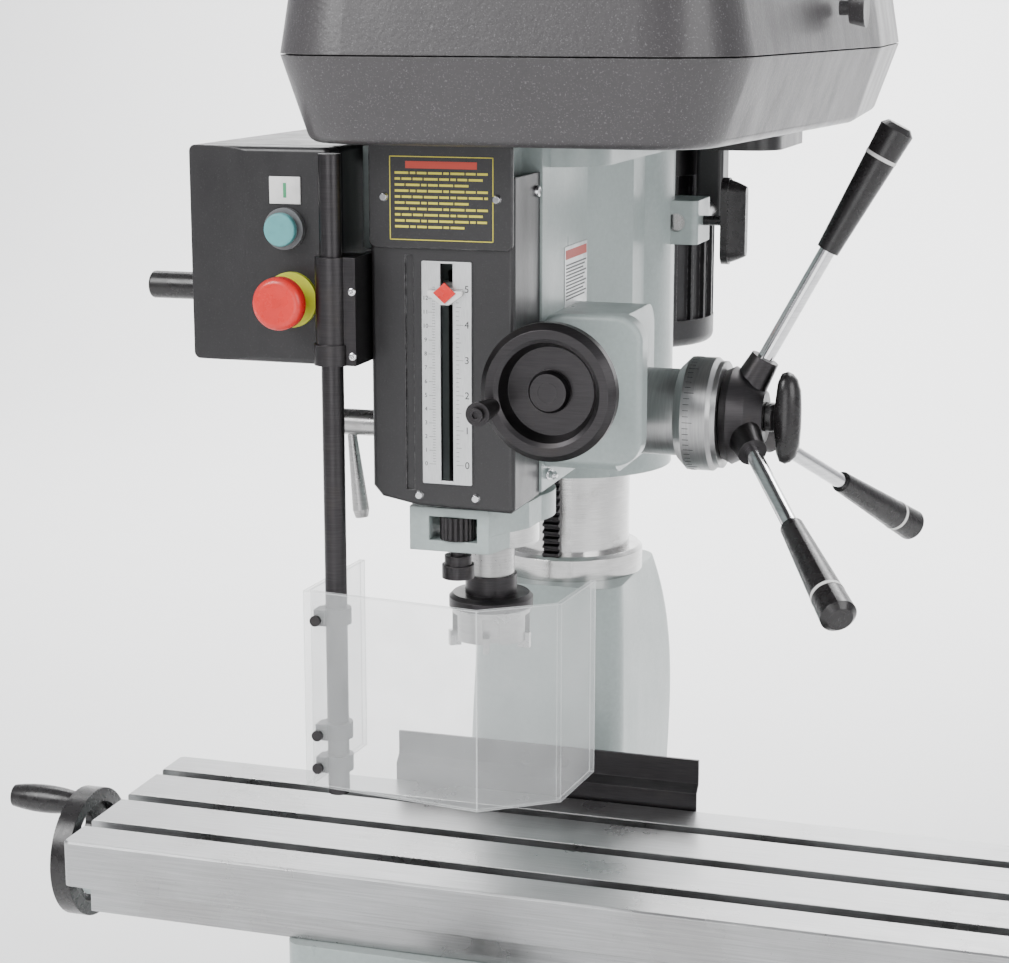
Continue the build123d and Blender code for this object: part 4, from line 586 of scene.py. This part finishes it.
# ---- lever rings, dial marks and screws ---------------------------------
def wing(node, body, name):
    """Long oval knob with soft shoulders and a waist at its neck, in place of a plainer node."""
    low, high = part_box(node)
    centre = (low + high) / 2
    tall, wide = (high.z - low.z) / 2, (high.y - low.y) / 2
    thick = 0.0195
    start = high.x - thick
    neck = min(0.0108, wide * 0.95)
    sections = [
        (low.x, neck, neck), (start - 0.002, neck, neck), (start, wide * 0.55, tall * 0.30),
        (start + 0.002, wide * 0.80, tall * 0.80), (start + 0.0045, wide * 0.96, tall * 0.96),
        (start + 0.0085, wide, tall), (start + 0.0125, wide * 0.93, tall * 0.95),
        (start + 0.0160, wide * 0.74, tall * 0.84), (start + 0.0185, wide * 0.46, tall * 0.62),
        (high.x, wide * 0.16, tall * 0.26),
    ]
    builder = bmesh.new()
    rings, count, round_off = [], 56, 0.72
    for x, half_y, half_z in sections:
        ring = []
        for i in range(count):
            turn = 2 * math.pi * i / count
            y = half_y * math.copysign(abs(math.cos(turn)) ** round_off, math.cos(turn))
            z = half_z * math.copysign(abs(math.sin(turn)) ** round_off, math.sin(turn))
            ring.append(builder.verts.new((x, centre.y + y, centre.z + z)))
        rings.append(ring)
    for first, second in zip(rings, rings[1:]):
        for i in range(count):
            j = (i + 1) % count
            builder.faces.new((first[i], first[j], second[j], second[i]))
    builder.faces.new(rings[0][::-1])
    builder.faces.new(rings[-1])
    knob = piece(name, to_mesh(builder, name), PHENOLIC, body, smooth_angle=60.0)
    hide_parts(node)


wing("clutch_knob", "clutch_knob", "clutch_wing")


def lever_rings():
    """White band near the end of each lever grip."""
    hub = Vector((0.176, -0.0063, 0.563))
    lean = math.radians(28.0)
    lever_reach, grip_length, band_along = 0.218, 0.104, 0.076
    grip_start = lever_reach / math.cos(lean) - grip_length
    radius = 0.0085 + 0.0045 * 0.76
    profile = [
        (0.0, radius - 0.0008), (0.0001, radius + 0.00025), (0.0028, radius + 0.0004),
        (0.0029, radius - 0.0006),
    ]
    for index, angle in enumerate((3.0, -117.0, 123.0)):
        turn = math.radians(angle)
        along = Vector((math.sin(lean), math.cos(lean) * math.sin(turn), math.cos(lean) * math.cos(turn)))
        centre = hub + along * (grip_start + band_along)
        lathe(f"grip_band_{index + 1}", profile, centre, along, WHITE, "feed")


lever_rings()


def dial_marks():
    """Graduations round the feed dial's rim."""
    low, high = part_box("feed_dial")
    centre = (low + high) / 2
    radius = (high.z - low.z) / 2 + 0.00005
    marks = 60
    builder = bmesh.new()
    for step in range(marks):
        length = 0.0075 if step % 5 == 0 else 0.0045
        size = Matrix.Diagonal((length, 0.0004, 0.0003, 1.0))
        reach = Matrix.Translation((low.x + 0.009 + length / 2, 0.0, radius))
        spin = Matrix.Rotation(2 * math.pi * step / marks, 4, "X")
        place = Matrix.Translation((0.0, centre.y, centre.z)) @ spin @ reach @ size
        bmesh.ops.create_cube(builder, size=1.0, matrix=place)
    piece("dial_marks", to_mesh(builder, "dial_marks"), BLACK_INK, "feed")


dial_marks()


def box_bracket():
    """Light grey flat bracket that ties the control box to the head."""
    width, height, depth = 0.024, 0.075, 0.004
    outline = [(0.0, 0.0), (width, 0.0), (width, height), (0.0, height)]
    corner = (-0.084, -0.096, 0.690)
    extruded("box_bracket", outline, corner, (1, 0, 0), (0, 0, 1), depth, CASTING, "head", 0.0008)


box_bracket()


def bracket_screws():
    """Two screws in each end bracket of the table."""
    low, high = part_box("table_brackets")
    middle_y, middle_z = (low.y + high.y) / 2, (low.z + high.z) / 2
    reach, sink = 0.030, 0.0004
    for side, x, axis in (("left", low.x, (-1, 0, 0)), ("right", high.x, (1, 0, 0))):
        for index, y in enumerate((middle_y - reach, middle_y + reach)):
            origin = (x - axis[0] * sink, y, middle_z)
            socket_screw(f"bracket_screw_{side}_{index + 1}", origin, axis, 0.0045, BLACKENED, "table")


def motor_screws():
    """Four screws on the motor plate, round the motor's shaft."""
    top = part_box("motor_plate")[1].z
    low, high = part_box("motor_rotor")
    centre = (low + high) / 2
    circle, sink = 0.058, 0.0003
    for index in range(4):
        turn = math.pi / 4 + math.pi / 2 * index
        reach = Vector((math.cos(turn), math.sin(turn), 0.0)) * circle
        origin = (centre.x + reach.x, centre.y + reach.y, top - sink)
        socket_screw(f"motor_screw_{index + 1}", origin, (0, 0, 1), 0.0055, BLACKENED, "motor")


def head_fittings():
    """Screws of the guard bracket and the front cover, and an oil nipple."""
    for index, z in enumerate((0.622, 0.668)):
        origin = (-0.0625, -0.1790, z)
        socket_screw(f"guard_bracket_screw_{index + 1}", origin, (0, -1, 0), 0.0030, CHROME, "head")
    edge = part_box("front_cover")[1]
    origin = (edge.x - 0.0002, edge.y - 0.010, 0.735)
    socket_screw("cover_side_screw", origin, (1, 0, 0), 0.0042, CHROME, "head")
    nipple = [
        (0.0, 0.0042), (0.003, 0.0042), (0.0032, 0.0028), (0.006, 0.0024), (0.0072, 0.0034), (0.0095, 0.0014),
    ]
    lathe("oil_nipple", nipple, (0.0497, -0.074, 0.5235), (1, -0.3, -0.1), CHROME, "head", 24)


def motor_tag():
    """Blank plate with plain lines on the back of the motor."""
    low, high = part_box("motor_housing")
    middle, face = (low.x + high.x) / 2, high.y
    tag = ((middle - 0.020, face - 0.0003, 0.632), (middle + 0.020, face + 0.0004, 0.668))
    boxes("motor_tag", [tag], SATIN_PLATE, "motor", 0.0003)
    lines = []
    for row in range(6):
        z = 0.660 - row * 0.0045
        end = middle + 0.017 - 0.005 * (row % 3)
        lines.append(((middle - 0.017, face + 0.0004, z), (end, face + 0.0005, z + 0.0014)))
    boxes("motor_tag_lines", lines, BLACK_INK, "motor")


bracket_screws()
motor_screws()
head_fittings()
motor_tag()


# ---- studio --------------------------------------------------------------
FLOOR_REACH = 16.0
BEND_START, BEND_RADIUS, BEND_STEPS = 2.0, 1.5, 12


def floor_material():
    """Almost white matt sheet with a faint, broad unevenness."""
    s = Surface("studio_floor")
    tone = s.blend(s.span(s.noise(0.5, 3.0), 0.3, 0.7), (0.93, 0.93, 0.93), (0.90, 0.90, 0.90))
    return s.finish(Base_Color=tone, Roughness=0.6)


def make_studio():
    """Pale floor that curves up behind, with large soft lights."""
    builder = bmesh.new()
    rows = [(-FLOOR_REACH, 0.0), (BEND_START, 0.0)]
    for step in range(1, BEND_STEPS + 1):
        turn = math.pi / 2 * step / BEND_STEPS
        rows.append((
            BEND_START + BEND_RADIUS * math.sin(turn), BEND_RADIUS - BEND_RADIUS * math.cos(turn),
        ))
    rows.append((BEND_START + BEND_RADIUS, FLOOR_REACH))
    ends = [[builder.verts.new((x, y, z)) for y, z in rows] for x in (-FLOOR_REACH, FLOOR_REACH)]
    for i in range(len(rows) - 1):
        builder.faces.new((ends[0][i], ends[1][i], ends[1][i + 1], ends[0][i + 1]))
    mesh = to_mesh(builder, "studio_floor")
    mesh.materials.append(floor_material())
    for polygon in mesh.polygons:
        polygon.use_smooth = True
    sheet = bpy.data.objects.new("studio_floor", mesh)
    bpy.context.scene.collection.objects.link(sheet)
    for name, place, aim, size, power in (
        ("key", (-1.6, -2.2, 2.4), (0.0, 0.0, 0.5), 1.5, 92.0),
        ("fill", (2.4, -1.4, 1.3), (0.0, 0.0, 0.5), 1.6, 34.0),
        ("back", (0.6, 1.7, 2.6), (0.0, 0.0, 0.6), 1.4, 50.0),
        ("low", (0.2, -2.6, 0.5), (0.0, 0.0, 0.5), 1.4, 14.0),
        ("backdrop", (-0.4, 2.2, 2.6), (-0.6, 3.5, 0.4), 2.6, 190.0),
    ):
        light = bpy.data.lights.new(name, "AREA")
        light.size, light.energy = size, power
        lamp = bpy.data.objects.new(name, light)
        lamp.location = place
        lamp.rotation_mode = "QUATERNION"
        lamp.rotation_quaternion = (Vector(aim) - Vector(place)).to_track_quat("-Z", "Y")
        bpy.context.scene.collection.objects.link(lamp)
    world = bpy.data.worlds.new("studio")
    world.use_nodes = True
    world.node_tree.nodes["Background"].inputs["Color"].default_value = (0.95, 0.96, 1.0, 1.0)
    world.node_tree.nodes["Background"].inputs["Strength"].default_value = 0.62
    bpy.context.scene.world = world


make_studio()
